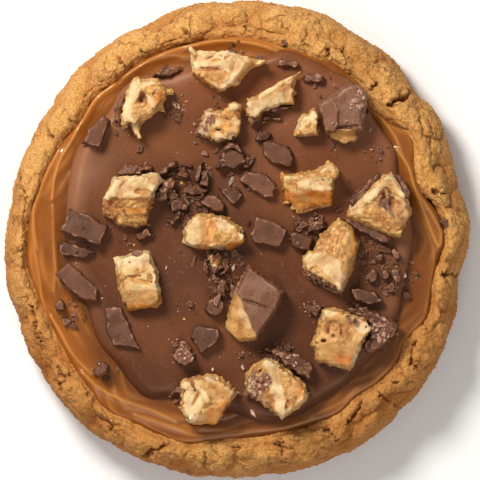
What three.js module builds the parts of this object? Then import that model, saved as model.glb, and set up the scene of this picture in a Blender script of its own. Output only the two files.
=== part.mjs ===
// A large bakery cookie, whole: a thick peanut butter cookie with a raised, cracked rim, a pool of caramel
// in its shallow dish, a disc of milk chocolate on it, and chopped candy bar and broken chocolate on top.
// Millimetres, +Z up. The origin is the middle of the flat underside, and +Y is the far side from the viewer.
import * as THREE from "three";

// Heights above the table.
const EQUATOR_Z = 8; // where the cookie is widest
const CREST_Z = 20; // the top of its rim
const DISH_EDGE_Z = 18.7; // where the rim meets the caramel
const DISH_FLOOR_Z = 15;
const CARAMEL_TOP_Z = 18.6; // under the chocolate
const CHOCOLATE_TOP_Z = 21.3;

// Free space kept between solids that touch.
const GAP = 0.3;

// Cookie.
const FOOT_INSET = 3.6; // how far the flat underside stays inside the outline
const DISH_WALL_SLOPE = 1.2; // how far the dish's wall comes inwards on its way down
const CRACK_WIDTH = 1.5;
const CRACK_DEPTH = 1.6;
const RELIEF_END = 0.1; // how near the rim's two edges its relief stops fading, as a share of its width
const RELIEF_SIDEWAYS = 0.5; // how much of the relief at the outline goes outwards

// The rim's broad lumps, as waves: height, radians per mm along X, Y and Z, and where the wave starts.
const RIM_LUMPS = [
  [0.2, 0.42, -0.38, 0.3, 0.47],
  [-0.2, 0.42, 0.38, 0.3, 2.67],
  [0.4, 0.27, -0.27, 0.5, 0],
];

// Caramel and chocolate.
const CARAMEL_MARGIN = 0.6; // the least caramel that shows beyond the chocolate
const CARAMEL_SWELL = 0.9; // how far its free edge stands up
const CARAMEL_EDGE_DROP = 0.7; // how far its side starts below its top
const CARAMEL_EDGE_SAG = 0.5; // how far its free edge ends below the rest
const CARAMEL_SIDE_INSET = 0.1;
const CARAMEL_FULL_WIDTH = 3; // where less of it shows, it swells less
const CARAMEL_RINGS = [0.93, 0.78, 0.58, 0.38, 0.18, 0]; // share of the way from the chocolate to the cookie
const CHOCOLATE_EDGE_RADIUS = 1.8;
const CHOCOLATE_FOOT_INSET = 1;
const CHOCOLATE_EDGE_RINGS = [0, 0.15, 0.6, CHOCOLATE_EDGE_RADIUS]; // distance inside its outline
const CHOCOLATE_INNER_RINGS = [0.82, 0.66, 0.5, 0.34, 0.17]; // share of its radius

// The slow swells that the spatula left in the chocolate, as waves in the same terms as the rim's lumps.
const CHOCOLATE_SWELLS = [
  [0.175, 0.13, 0.11, 0, 0.5],
  [0.175, 0.13, -0.11, 0, 1.3],
  [0.22, 0.16, -0.12, 0, 1.7],
];

// How finely each round layer is divided: spokes around it.
const COOKIE_SPOKES = 150;
const CARAMEL_SPOKES = 120;
const CHOCOLATE_SPOKES = 90;

// Outlines seen from above: the radius at even steps round the circle, counter-clockwise from +X.
const COOKIE_RADII = [
  55.4, 55.1, 54.7, 56.1, 55.6, 57.0, 56.7, 57.6, 57.6, 56.5, 57.1, 56.4,
  56.2, 55.8, 54.7, 54.4, 54.7, 54.6, 55.2, 55.6, 55.2, 56.3, 56.8, 57.0,
  57.1, 56.8, 57.1, 56.5, 56.7, 56.8, 57.0, 56.7, 56.3, 56.1, 55.3, 53.6,
];
const CARAMEL_RADII = [
  49.3, 48.2, 45.1, 45.8, 47.7, 45.8, 44.8, 46.2, 48.0, 47.0, 47.1, 47.9,
  48.3, 47.9, 47.7, 48.0, 48.0, 47.2, 47.6, 46.5, 47.5, 47.9, 48.4, 49.3,
  49.7, 50.0, 49.2, 48.4, 48.4, 49.0, 49.6, 50.9, 49.8, 49.9, 49.9, 48.4,
  47.0, 46.7, 46.8, 47.1, 48.0, 47.1, 47.9, 48.3, 46.8, 48.8, 47.8, 47.7,
];
const CHOCOLATE_RADII = [
  41.9, 41.8, 41.5, 41.5, 43.4, 43.3, 44.1, 46.5, 46.2, 46.4, 46.6, 44.0,
  43.1, 42.8, 43.0, 43.0, 44.9, 44.9, 43.0, 43.4, 43.6, 42.8, 41.7, 40.9,
  41.1, 41.0, 40.1, 38.7, 39.7, 40.8, 40.8, 42.0, 42.8, 40.4, 40.3, 40.5,
  41.4, 43.3, 44.2, 43.9, 43.1, 43.2, 42.6, 42.5, 42.6, 42.0, 41.2, 41.3,
];

// The cookie's side below its widest line: distance inside the outline, then height.
const SIDE_SECTION = [
  [FOOT_INSET, 0],
  [1.3, 1.5],
  [0.25, 4.4],
];

// The rim's section above it: share of the way from the outline to the dish, then height.
const RIM_SECTION = [
  [0.0, EQUATOR_Z],
  [0.05, 11.8],
  [0.17, 15.3],
  [0.36, 17.9],
  [0.56, 19.4],
  [0.76, CREST_Z],
  [0.9, 19.6],
  [1.0, DISH_EDGE_Z],
];

// The deepest cracks in the rim, each from one point to another.
const CRACKS = [
  [1.8, 53.5, 3.2, 46.5],
  [21.4, 45.0, 21.9, 42.0],
  [31.0, 36.0, 34.0, 37.8],
  [36.6, 32.2, 42.6, 35.4],
  [45.0, 10.6, 50.0, 11.8],
  [46.8, -7.8, 53.6, -9.2],
  [41.2, -24.0, 45.6, -19.5],
  [35.4, -36.2, 39.6, -39.6],
  [27.0, -42.6, 29.8, -36.8],
  [20.6, -43.4, 22.0, -47.5],
  [8.8, -46.8, 10.2, -51.5],
  [-22.4, -50.5, -15.0, -48.8],
  [-29.7, -41.4, -30.2, -46.0],
  [-49.4, -14.6, -46.6, -22.0],
  [-46.6, -22.0, -41.8, -31.0],
  [-50.8, 10.2, -49.4, 6.0],
  [-44.9, 27.0, -43.2, 24.0],
  [-36.9, 33.4, -35.2, 31.8],
  [-30.8, 36.8, -27.8, 38.8],
  [-28.0, 43.2, -26.6, 40.4],
  [-13.2, 51.0, -10.8, 48.2],
];

// A broken block's section: the size of its outline, then the share of its height. Its flanks bulge a little
// and its top edge is worn.
const BLOCK_SECTION = [
  [0.93, 0],
  [1, 0.35],
  [0.97, 0.8],
  [0.86, 1],
];

// Chopped candy bar: the height of each chunk at its middle, how its top leans (rise per mm along X and along
// Y), and its corners seen from above, counter-clockwise.
const CANDY_CHUNKS = [
  {
    height: 7.5,
    lean: [-0.12, 0.05],
    corners: [
      [-24.2, 38], [-26.4, 33.5], [-26.6, 29], [-23.4, 25.3], [-22.4, 28.2],
      [-18, 31.3], [-15.9, 35.3], [-18.6, 38.3],
    ],
  },
  {
    height: 7,
    lean: [0.02, 0.14],
    corners: [
      [-10.3, 44.7], [-10.9, 39.4], [-4, 34.9], [-0.3, 36.8], [3.2, 40.3],
      [6.8, 42.3], [-0.5, 44.3], [-5, 44.6],
    ],
  },
  {
    height: 5.5,
    lean: [0.1, 0.08],
    corners: [
      [-0.3, 32.3], [-3.4, 30.4], [-7.4, 31], [-9.8, 25.2], [-5.2, 23.2],
      [-0.8, 23.2], [0.6, 27], [1.5, 31],
    ],
  },
  {
    height: 6.5,
    lean: [0.02, 0.12],
    corners: [
      [13.9, 39.2], [8.5, 36.2], [2.5, 33.3], [2.2, 30.2], [3.4, 26.6],
      [6.3, 30.1], [10.2, 31.6], [14, 32.2],
    ],
  },
  {
    height: 5.5,
    lean: [0.06, 0.1],
    corners: [[18.4, 30.8], [15, 28.9], [13.3, 24.4], [19.4, 24.3], [19.6, 28]],
  },
  {
    height: 7.5,
    lean: [-0.05, 0.1],
    corners: [
      [26.2, 37], [23.4, 34.6], [18.9, 32.4], [20.4, 28], [20.9, 25.2],
      [25.4, 22.8], [30.2, 23.8], [31, 34.6], [29.2, 36.7],
    ],
  },
  {
    height: 7,
    lean: [0, 0.12],
    corners: [
      [22, 18.4], [18.5, 16.4], [10.2, 15.4], [11.4, 9.6], [14.8, 6.3],
      [23, 8.4], [22.9, 12.5], [24, 16.4],
    ],
  },
  {
    height: 7,
    lean: [0.02, 0.06],
    corners: [
      [36.5, 15.9], [32.4, 14.2], [26.8, 8.6], [26, 4.8], [34.6, -0.8],
      [38.4, 0.6], [41.2, 6.2], [40.6, 10.8],
    ],
  },
  {
    height: 8,
    lean: [-0.02, 0.12],
    corners: [
      [-18.3, 15.8], [-28.9, 14.6], [-31.4, 10], [-31.5, 5.8], [-26.8, 2.9],
      [-21.2, 3.7], [-19.6, 10.2], [-18, 13.8],
    ],
  },
  {
    height: 6,
    lean: [-0.05, 0.08],
    corners: [
      [-3.2, 5.9], [-9.4, 6.3], [-12.6, 3.2], [-12.6, -1], [-8.6, -2.3],
      [-1.1, -2.6], [2.6, -0.4], [1.2, 2.9],
    ],
  },
  {
    height: 8,
    lean: [0.04, -0.04],
    corners: [
      [24.6, 4.9], [19.8, 1], [18.4, -2.8], [15.8, -4.6], [16.2, -8.1],
      [24.7, -12.9], [27, -8.5], [29.4, -0.6], [27.8, 2.6],
    ],
  },
  {
    height: 8,
    lean: [0.02, 0.1],
    corners: [
      [-20.5, -2.6], [-29, -4.4], [-28, -11.4], [-25.9, -17], [-18.4, -16],
      [-17.6, -14.6], [-18.9, -7],
    ],
  },
  {
    height: 8.5,
    lean: [0.03, 0.08],
    corners: [
      [2.8, -5.9], [0.3, -10.6], [-2, -16.5], [-3.3, -21], [0.3, -24.4],
      [4.8, -23.6], [9.8, -17], [11.4, -12.2], [6.5, -8.4],
    ],
  },
  {
    height: 7,
    lean: [-0.05, 0.06],
    corners: [
      [23.6, -16.2], [20.4, -16.2], [18.2, -24], [19, -29], [27.1, -31],
      [30.6, -23.2], [32.8, -21], [30.2, -18.2],
    ],
  },
  {
    height: 7.5,
    lean: [-0.04, 0.12],
    corners: [
      [-6.4, -31.8], [-12.8, -33.2], [-13.3, -39.6], [-11, -43.6], [-4.6, -44],
      [-1.3, -38.5], [0.2, -35.8], [-3.4, -33],
    ],
  },
  {
    height: 8,
    lean: [0.02, 0.08],
    corners: [
      [6.8, -27.9], [2.4, -31.8], [2.1, -35.8], [10.9, -42.3], [15.9, -38.6],
      [17.1, -36.2], [16, -33.7], [9.6, -28.9],
    ],
  },
];

// Broken chocolate on the chocolate layer, in the same terms.
const CHOCOLATE_PIECES = [
  {
    height: 3.6,
    lean: [-0.12, 0.1],
    corners: [[-31.4, 29.7], [-35, 26.4], [-36.9, 22.8], [-32.4, 22], [-29.9, 28.2]],
  },
  {
    height: 3.4,
    lean: [-0.04, 0.08],
    corners: [[-39.5, 7.4], [-42, 2], [-32.4, -1.4], [-30.2, 3.4], [-35.3, 6]],
  },
  {
    height: 2,
    lean: [-0.02, 0.1],
    corners: [[-40.8, -0.1], [-42.5, -1.4], [-41.6, -3.6], [-36.6, -4.5], [-32.6, -3.2], [-35.4, -1.7]],
  },
  {
    height: 2.6,
    lean: [0.1, 0.12],
    corners: [
      [-39.8, -4.9], [-43, -8.2], [-40.6, -11], [-36.8, -14], [-33, -14.4],
      [-33, -11.6], [-36.5, -7.8],
    ],
  },
  {
    height: 2.4,
    lean: [0.08, 0.04],
    corners: [[-31.2, -16], [-31, -21], [-29.2, -24.9], [-22.2, -26.1], [-24.8, -21.6], [-27.2, -15.6]],
  },
  {
    height: 3,
    lean: [0.12, 0.14],
    corners: [[-9.8, -20.4], [-10.6, -23.2], [-8.8, -26.7], [-7.4, -26.6], [-4.4, -24], [-3.9, -20.6]],
  },
  {
    height: 4.2,
    lean: [0.02, 0.08],
    corners: [[-13, -23.8], [-15.6, -27.6], [-12.4, -30], [-9.6, -28.4], [-11.2, -24.4]],
  },
  {
    height: 3.4,
    lean: [-0.1, 0.12],
    corners: [[6.8, 23.6], [6.3, 20.8], [8.4, 18.4], [13, 17.2], [13.4, 19.8], [12, 22.4]],
  },
  {
    height: 3.8,
    lean: [0.02, 0.2],
    corners: [[-3, 22.2], [-4.8, 17.2], [-0.6, 16.9], [2.4, 18.6], [1.4, 21.4]],
  },
  {
    height: 3,
    lean: [0.02, 0.14],
    corners: [[2, 16.1], [0.3, 14.2], [4.6, 11.4], [6.4, 10], [8.9, 10], [9.5, 13.4], [6, 16.2]],
  },
  {
    height: 2.8,
    lean: [-0.05, 0.08],
    corners: [[4.4, 6], [3.3, 1.2], [3.9, -0.9], [10.6, -1.9], [12.1, 2.3], [9.4, 4.3]],
  },
  {
    height: 3.4,
    lean: [-0.08, 0.1],
    corners: [[13.8, 2], [12.6, 1.4], [12.8, -1.5], [17.2, -2.8], [18.3, 0.4]],
  },
  {
    height: 2.6,
    lean: [0.1, 0.16],
    corners: [[-4.4, 12.4], [-2, 9.2], [-0.6, 7.9], [1.6, 10.4], [0.6, 12]],
  },
  {
    height: 3.2,
    lean: [0.04, 0.12],
    corners: [[-8.6, 9], [-5.6, 6.8], [-3, 6.6], [-2.7, 8.2], [-4.6, 10.4], [-6.6, 10.8]],
  },
  {
    height: 3.2,
    lean: [0.02, 0.1],
    corners: [[-6.5, -14.2], [-7.6, -16.8], [-4.8, -18.2], [-3.2, -17], [-2.9, -14.7], [-4.6, -13.6]],
  },
  {
    height: 3,
    lean: [-0.08, 0.08],
    corners: [[27, -11.6], [28.2, -14.4], [32, -15.6], [35, -14.5], [33.4, -12.6], [29.5, -11.3]],
  },
  {
    height: 4,
    lean: [-0.06, 0.08],
    corners: [[33.4, -18.8], [33.7, -21.2], [31.5, -24.2], [31.8, -26.5], [35, -24.9], [38, -20.4]],
  },
  {
    height: 4.6,
    lean: [-0.04, 0.1],
    corners: [[9.8, -26.2], [10.4, -28.6], [15, -32.1], [17, -33], [18.4, -30], [15, -27.2]],
  },
];

// Broken chocolate that fell on the caramel, beyond the chocolate layer.
const STRAY_PIECES = [
  {
    height: 4.2,
    lean: [0.1, 0.1],
    corners: [[-34.2, -31.3], [-33, -32.6], [-30.5, -31.8], [-30.3, -29.6], [-31.7, -28.7]],
  },
  {
    height: 3.2,
    lean: [0.06, 0.1],
    corners: [[-43.7, -15.4], [-42.6, -16.9], [-40.8, -16.6], [-40.6, -15.2], [-41.7, -13.9]],
  },
];

const TURN = Math.PI * 2;

// The radius at any angle, from radii at even steps, on one smooth closed curve.
function radiusAt(radii, angle) {
  const n = radii.length;
  const place = (angle / TURN) * n;
  const i = Math.floor(place);
  const t = place - i;
  const [a, b, c, d] = [-1, 0, 1, 2].map((k) => radii[(i + k + n) % n]);
  return b + 0.5 * t * (c - a + t * (2 * a - 5 * b + 4 * c - d + t * (3 * (b - c) + d - a)));
}

const cookieRadius = (angle) => radiusAt(COOKIE_RADII, angle);
const chocolateRadius = (angle) => radiusAt(CHOCOLATE_RADII, angle);
const caramelRadius = (angle) =>
  Math.max(radiusAt(CARAMEL_RADII, angle), chocolateRadius(angle) + CARAMEL_MARGIN);

function onSpoke(angle, radius, z) {
  return new THREE.Vector3(radius * Math.cos(angle), radius * Math.sin(angle), z);
}

function ring(spokes, place) {
  return Array.from({ length: spokes }, (_, i) => place((i / spokes) * TURN));
}

function distanceToLine(x, y, [x1, y1, x2, y2]) {
  const [dx, dy] = [x2 - x1, y2 - y1];
  const along = THREE.MathUtils.clamp(((x - x1) * dx + (y - y1) * dy) / (dx * dx + dy * dy), 0, 1);
  return Math.hypot(x - x1 - along * dx, y - y1 - along * dy);
}

// The sum of all waves at a place.
function waveHeight(waves, x, y, z) {
  const heights = waves.map(([height, perX, perY, perZ, start]) =>
    height * Math.sin(perX * x + perY * y + perZ * z + start),
  );
  return heights.reduce((sum, height) => sum + height);
}

// How far the rim's skin stands out from its plain section: broad lumps, cut by the deep cracks.
function rimRelief({ x, y, z }) {
  const nearest = Math.min(...CRACKS.map((crack) => distanceToLine(x, y, crack)));
  return waveHeight(RIM_LUMPS, x, y, z) - CRACK_DEPTH * Math.exp(-((nearest / CRACK_WIDTH) ** 2));
}

// The chocolate's upper face before its edge rounds over.
const chocolateCrown = (x, y) => CHOCOLATE_TOP_Z + waveHeight(CHOCOLATE_SWELLS, x, y, 0);

// A closed body through rings of points, bottom to top, each counter-clockwise seen from above. The ends are
// fans round a middle point where these are given, and flat caps where not.
function loft(rings, middles) {
  const n = rings[0].length;
  const last = (rings.length - 1) * n;
  const faces = [];
  for (let low = 0; low < last; low += n) {
    for (let i = 0; i < n; i++) {
      const next = (i + 1) % n;
      faces.push(low + i, low + next, low + n + next, low + i, low + n + next, low + n + i);
    }
  }
  faces.push(...(middles ? fans(n, last) : caps(rings)));
  const geometry = new THREE.BufferGeometry().setFromPoints([...rings.flat(), ...(middles ?? [])]);
  geometry.setIndex(faces);
  geometry.computeVertexNormals();
  return geometry;
}

function fans(n, last) {
  const [foot, top] = [last + n, last + n + 1];
  const nexts = Array.from({ length: n }, (_, i) => (i + 1) % n);
  return nexts.flatMap((next, i) => [foot, next, i, top, last + i, last + next]);
}

function caps(rings) {
  const last = (rings.length - 1) * rings[0].length;
  const flat = (line) => line.map((p) => new THREE.Vector2(p.x, p.y));
  const triangles = (line) => THREE.ShapeUtils.triangulateShape(flat(line), []);
  const foot = triangles(rings[0]).flatMap(([a, b, c]) => [a, c, b]);
  const top = triangles(rings.at(-1)).flatMap((triangle) => triangle.map((i) => last + i));
  return [...foot, ...top];
}

function rimPoint(angle, share, z) {
  const inner = caramelRadius(angle) + GAP;
  const radius = THREE.MathUtils.lerp(cookieRadius(angle), inner, share);
  const plain = onSpoke(angle, radius, z);
  // The relief is strongest on the crest and least at the outline and the dish.
  const strength = Math.sin(Math.PI * THREE.MathUtils.clamp(share, RELIEF_END, 1 - RELIEF_END));
  const relief = rimRelief(plain) * strength;
  return onSpoke(angle, radius + relief * (1 - share) * RELIEF_SIDEWAYS, z + relief * share);
}

function cookieBase() {
  // The side is lumpy too, but for its widest line above and its flat foot below.
  const side = SIDE_SECTION.map(([inset, z]) =>
    ring(COOKIE_SPOKES, (angle) => {
      const plain = onSpoke(angle, cookieRadius(angle) - inset, z);
      return onSpoke(angle, cookieRadius(angle) - inset - Math.abs(rimRelief(plain)) * (z / EQUATOR_Z), z);
    }),
  );
  const rim = RIM_SECTION.map(([share, z]) => ring(COOKIE_SPOKES, (angle) => rimPoint(angle, share, z)));
  const dish = ring(COOKIE_SPOKES, (angle) =>
    onSpoke(angle, caramelRadius(angle) + GAP - DISH_WALL_SLOPE, DISH_FLOOR_Z),
  );
  const middles = [new THREE.Vector3(0, 0, 0), new THREE.Vector3(0, 0, DISH_FLOOR_Z)];
  return loft([...side, ...rim, dish], middles);
}

function caramelLayer() {
  const covered = (angle) => chocolateRadius(angle) + CARAMEL_MARGIN / 2; // inside this it is flat
  const footZ = DISH_FLOOR_Z + GAP;
  const foot = ring(CARAMEL_SPOKES, (angle) =>
    onSpoke(angle, caramelRadius(angle) - DISH_WALL_SLOPE - GAP, footZ),
  );
  const side = ring(CARAMEL_SPOKES, (angle) =>
    onSpoke(angle, caramelRadius(angle) - CARAMEL_SIDE_INSET, CARAMEL_TOP_Z - CARAMEL_EDGE_DROP),
  );
  // The free edge swells up and rounds over.
  const swell = CARAMEL_RINGS.map((share) =>
    ring(CARAMEL_SPOKES, (angle) => {
      const width = caramelRadius(angle) - covered(angle);
      const rise = CARAMEL_SWELL * Math.min(1, width / CARAMEL_FULL_WIDTH) * Math.sin(Math.PI * share);
      const z = CARAMEL_TOP_Z + rise - CARAMEL_EDGE_SAG * share * share;
      return onSpoke(angle, covered(angle) + width * share, z);
    }),
  );
  const middles = [new THREE.Vector3(0, 0, footZ), new THREE.Vector3(0, 0, CARAMEL_TOP_Z)];
  return loft([foot, side, ...swell], middles);
}

function chocolateLayer() {
  const footZ = CARAMEL_TOP_Z + GAP;
  const foot = ring(CHOCOLATE_SPOKES, (angle) =>
    onSpoke(angle, chocolateRadius(angle) - CHOCOLATE_FOOT_INSET, footZ),
  );
  // Its edge is a quarter round, lower than the crown by what the arc has lost at this inset.
  const crownPoint = (angle, inset) => {
    const p = onSpoke(angle, chocolateRadius(angle) - inset, 0);
    const short = Math.max(0, CHOCOLATE_EDGE_RADIUS - inset);
    const drop = CHOCOLATE_EDGE_RADIUS - Math.sqrt(CHOCOLATE_EDGE_RADIUS ** 2 - short ** 2);
    return p.setZ(chocolateCrown(p.x, p.y) - drop);
  };
  const edge = CHOCOLATE_EDGE_RINGS.map((inset) =>
    ring(CHOCOLATE_SPOKES, (angle) => crownPoint(angle, inset)),
  );
  const inner = CHOCOLATE_INNER_RINGS.map((share) =>
    ring(CHOCOLATE_SPOKES, (angle) => crownPoint(angle, chocolateRadius(angle) * (1 - share))),
  );
  const middles = [new THREE.Vector3(0, 0, footZ), new THREE.Vector3(0, 0, chocolateCrown(0, 0))];
  return loft([foot, ...edge, ...inner], middles);
}

// One broken block, whose foot follows what it lies on.
function brokenBlock({ height, lean, corners }, surface) {
  const middle = corners.reduce((sum, [x, y]) => sum.add(new THREE.Vector2(x, y)), new THREE.Vector2());
  middle.divideScalar(corners.length);
  const topZ = surface(middle.x, middle.y) + GAP + height;
  const rings = BLOCK_SECTION.map(([size, share]) =>
    corners.map(([cornerX, cornerY]) => {
      const x = THREE.MathUtils.lerp(middle.x, cornerX, size);
      const y = THREE.MathUtils.lerp(middle.y, cornerY, size);
      const leaning = lean[0] * (x - middle.x) + lean[1] * (y - middle.y);
      return new THREE.Vector3(x, y, THREE.MathUtils.lerp(surface(x, y) + GAP, topZ + leaning, share));
    }),
  );
  return loft(rings);
}

const looks = {
  cookie: new THREE.MeshStandardMaterial({ color: 0xc98f4b, roughness: 0.85 }),
  caramel: new THREE.MeshStandardMaterial({ color: 0xa9651f, roughness: 0.25 }),
  chocolate: new THREE.MeshStandardMaterial({ color: 0x6d4330, roughness: 0.4 }),
  nougat: new THREE.MeshStandardMaterial({ color: 0xe6c88d, roughness: 0.65 }),
  brokenChocolate: new THREE.MeshStandardMaterial({ color: 0x6b4636, roughness: 0.55 }),
};

const cookie = new THREE.Group();

function add(name, geometry, look) {
  const mesh = new THREE.Mesh(geometry, look);
  mesh.name = name;
  cookie.add(mesh);
}

function scatter(stem, blocks, surface, look) {
  blocks.forEach((block, i) => {
    const name = `${stem}_${String(i + 1).padStart(2, "0")}`;
    add(name, brokenBlock(block, surface), look);
  });
}

const caramelSurface = () => CARAMEL_TOP_Z + CARAMEL_SWELL;

add("cookie_base", cookieBase(), looks.cookie);
add("caramel_layer", caramelLayer(), looks.caramel);
add("chocolate_layer", chocolateLayer(), looks.chocolate);
scatter("candy_chunk", CANDY_CHUNKS, chocolateCrown, looks.nougat);
scatter("chocolate_piece", CHOCOLATE_PIECES, chocolateCrown, looks.brokenChocolate);
scatter("stray_piece", STRAY_PIECES, caramelSurface, looks.brokenChocolate);

export default cookie;
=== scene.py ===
"""A large peanut butter cookie with caramel, milk chocolate and chopped candy bar, seen from straight above.

Lengths are in millimetres until a mesh is made. X runs to the right of the view, Y to its top and Z up from
the table. The outlines and heights of the cookie, its fillings and its large pieces are read from the frame's
nodes, and what lies on a surface is dropped onto it.
"""

import itertools
import math

import bpy
import numpy as np
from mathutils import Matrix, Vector
from mathutils.bvhtree import BVHTree


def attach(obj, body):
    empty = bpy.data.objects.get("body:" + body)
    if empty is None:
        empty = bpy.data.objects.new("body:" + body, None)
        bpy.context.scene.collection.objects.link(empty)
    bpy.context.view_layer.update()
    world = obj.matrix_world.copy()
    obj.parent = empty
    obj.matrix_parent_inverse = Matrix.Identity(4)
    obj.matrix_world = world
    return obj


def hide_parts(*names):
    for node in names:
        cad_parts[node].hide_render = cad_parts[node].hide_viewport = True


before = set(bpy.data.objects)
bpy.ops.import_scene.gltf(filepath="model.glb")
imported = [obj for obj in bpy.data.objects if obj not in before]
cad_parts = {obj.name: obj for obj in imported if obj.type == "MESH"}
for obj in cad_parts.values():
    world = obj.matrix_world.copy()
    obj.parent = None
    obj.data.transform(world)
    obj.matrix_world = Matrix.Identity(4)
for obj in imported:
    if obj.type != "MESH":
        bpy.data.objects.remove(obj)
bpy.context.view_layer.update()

TAU = 2 * math.pi
MM = 0.001
BODY = "root"
GROUND_NAMES = ("_detail", "_curl", "_bits", "cookie", "caramel", "chocolate")

# The camera: straight above, far enough away that the view is almost parallel.
VIEW_WIDTH = 114.3
VIEW_CENTRE_X = 0.83
CAMERA_HEIGHT = 3000
SENSOR_WIDTH = 36

# Fineness: spokes and rings of the round surfaces, steps of the grids for candy and broken chocolate, and the
# corners of a chip.
COOKIE_SPOKES = 960
COOKIE_RINGS = 96
FOOT_SPOKES = 240
FOOT_RINGS = 16
CARAMEL_SPOKES = 900
CHOCOLATE_SPOKES = 600
CANDY_STEP = 0.3
SHARD_STEP = 0.25
CHIP_CORNERS = 5

# The fillings: heights of their flats and of the hidden feet of their edges. Each rounds down by its drop at
# its edge, the chocolate over the width of its shoulder.
CARAMEL_TOP = 18.5
CARAMEL_FOOT = 16.4
CARAMEL_DROP = 1.7
CHOCOLATE_TOP = 21.3
CHOCOLATE_FOOT = 17.8
CHOCOLATE_SHOULDER = 3.4
CHOCOLATE_DROP = 2.7

# The chocolate's rings are fine over this width at its edge, and follow its outline less and less up to this
# distance from it.
CHOCOLATE_RIM = 8
CHOCOLATE_REACH = 40

# The rim's width on the section, how far its dish reaches past the caramel's outline, and how far the skin
# as a whole is drawn in to make up for its lobes.
RIM_WIDTH = 8.0
CARAMEL_GAP = 0.4
SKIN_OFFSET = 0.25

# The pits of the underside run out towards this distance from the middle.
FOOT_RADIUS = 51

# How far the broken sides lean out for each millimetre down, and how far in their upper edge starts.
CANDY_SLANT = 0.13
CANDY_INSET = 0.75
SLAB_SLANT = 0.14
SLAB_INSET = 0.35

# Smaller slabs that rise more than this over the chocolate are paler.
PALE_SLAB_TOP = 8

# The cookie's section from its foot to under the caramel: share of the way from the outline to the dish's
# edge, distance inside that, height.
COOKIE_SECTION = [
    (0, 3.6, 0), (0, 2.2, 0.3), (0, 1.1, 1.7), (0, 0.25, 4.4), (0, 0, 8), (0.05, 0, 11.8), (0.17, 0, 15.3),
    (0.36, 0, 17.9), (0.56, 0, 19.4), (0.76, 0, 20), (0.9, 0, 19.6), (1, 0, 18.7), (1, 1.2, 17.2),
]

# Deep cracks in the rim: from, to, half width, depth.
CRACKS = [
    ((2.3, 54.8), (3.0, 50.5), 0.35, 1.6), ((1.9, 51.5), (3.4, 47.6), 0.7, 3.0),
    ((16.7, 50.6), (16.0, 44.8), 0.4, 1.8), ((21.6, 44.9), (21.9, 42.2), 0.8, 2.6),
    ((26.2, 46.8), (25.6, 44.9), 0.5, 2.0), ((31.0, 34.9), (33.8, 37.5), 0.5, 2.2),
    ((36.0, 32.0), (42.4, 35.6), 0.9, 3.2), ((35.4, 28.4), (36.9, 27.6), 0.8, 2.4),
    ((44.4, 9.9), (47.0, 11.4), 0.45, 2.0), ((47.0, 11.4), (49.6, 11.0), 0.8, 2.6),
    ((47.5, -7.3), (54.6, -9.2), 0.5, 2.2), ((43.6, -19.6), (45.0, -20.9), 0.7, 2.4),
    ((40.2, -22.2), (42.4, -25.2), 1.0, 3.0), ((41.6, -26.0), (42.0, -30.2), 0.4, 2.0),
    ((36.6, -33.2), (38.4, -33.6), 0.5, 1.8), ((33.2, -36.0), (38.6, -39.6), 0.45, 2.2),
    ((29.9, -36.6), (27.0, -43.4), 1.1, 3.4), ((20.6, -42.6), (21.8, -45.4), 1.0, 3.0),
    ((21.8, -45.4), (24.4, -47.2), 0.4, 2.0), ((10.0, -47.0), (10.8, -51.4), 0.6, 2.4),
    ((-1.5, -47.6), (0.2, -49.0), 0.6, 2.0), ((-7.9, -51.0), (-7.4, -54.9), 0.5, 1.8),
    ((-22.4, -51.4), (-16.8, -48.8), 1.0, 3.0), ((-16.8, -48.8), (-12.6, -47.8), 0.7, 2.6),
    ((-33.0, -40.3), (-30.6, -43.6), 0.8, 2.6), ((-30.2, -38.0), (-30.0, -46.0), 0.4, 2.0),
    ((-36.6, -34.4), (-34.8, -37.4), 0.4, 1.8), ((-42.7, -30.2), (-41.0, -32.4), 0.6, 2.2),
    ((-43.0, -34.0), (-41.6, -35.6), 0.7, 2.4), ((-49.8, -13.6), (-47.9, -19.0), 0.5, 2.4),
    ((-47.9, -19.0), (-46.6, -26.0), 0.6, 2.6), ((-52.0, 15.0), (-50.6, 9.6), 0.6, 2.2),
    ((-50.6, 9.6), (-49.6, 5.8), 1.0, 3.0), ((-53.6, -3.4), (-49.8, -1.6), 0.6, 1.8),
    ((-45.2, 27.2), (-43.4, 23.8), 0.6, 2.4), ((-40.0, 28.9), (-38.0, 27.9), 0.6, 2.0),
    ((-36.6, 34.0), (-35.1, 31.8), 0.7, 2.4), ((-31.4, 37.0), (-28.4, 36.2), 0.6, 2.0),
    ((-28.0, 43.4), (-26.2, 40.2), 0.45, 2.2), ((-22.4, 44.8), (-20.4, 43.6), 0.7, 2.4),
    ((-18.6, 48.8), (-18.9, 46.6), 0.4, 1.8), ((-12.9, 50.7), (-10.4, 47.6), 0.6, 2.2),
    ((-15.6, 47.0), (-14.8, 44.8), 0.4, 1.8), ((8.0, 51.6), (11.6, 51.0), 0.5, 1.0),
    ((-48.0, 37.0), (-36.6, 46.4), 0.5, 1.0),
]

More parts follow.
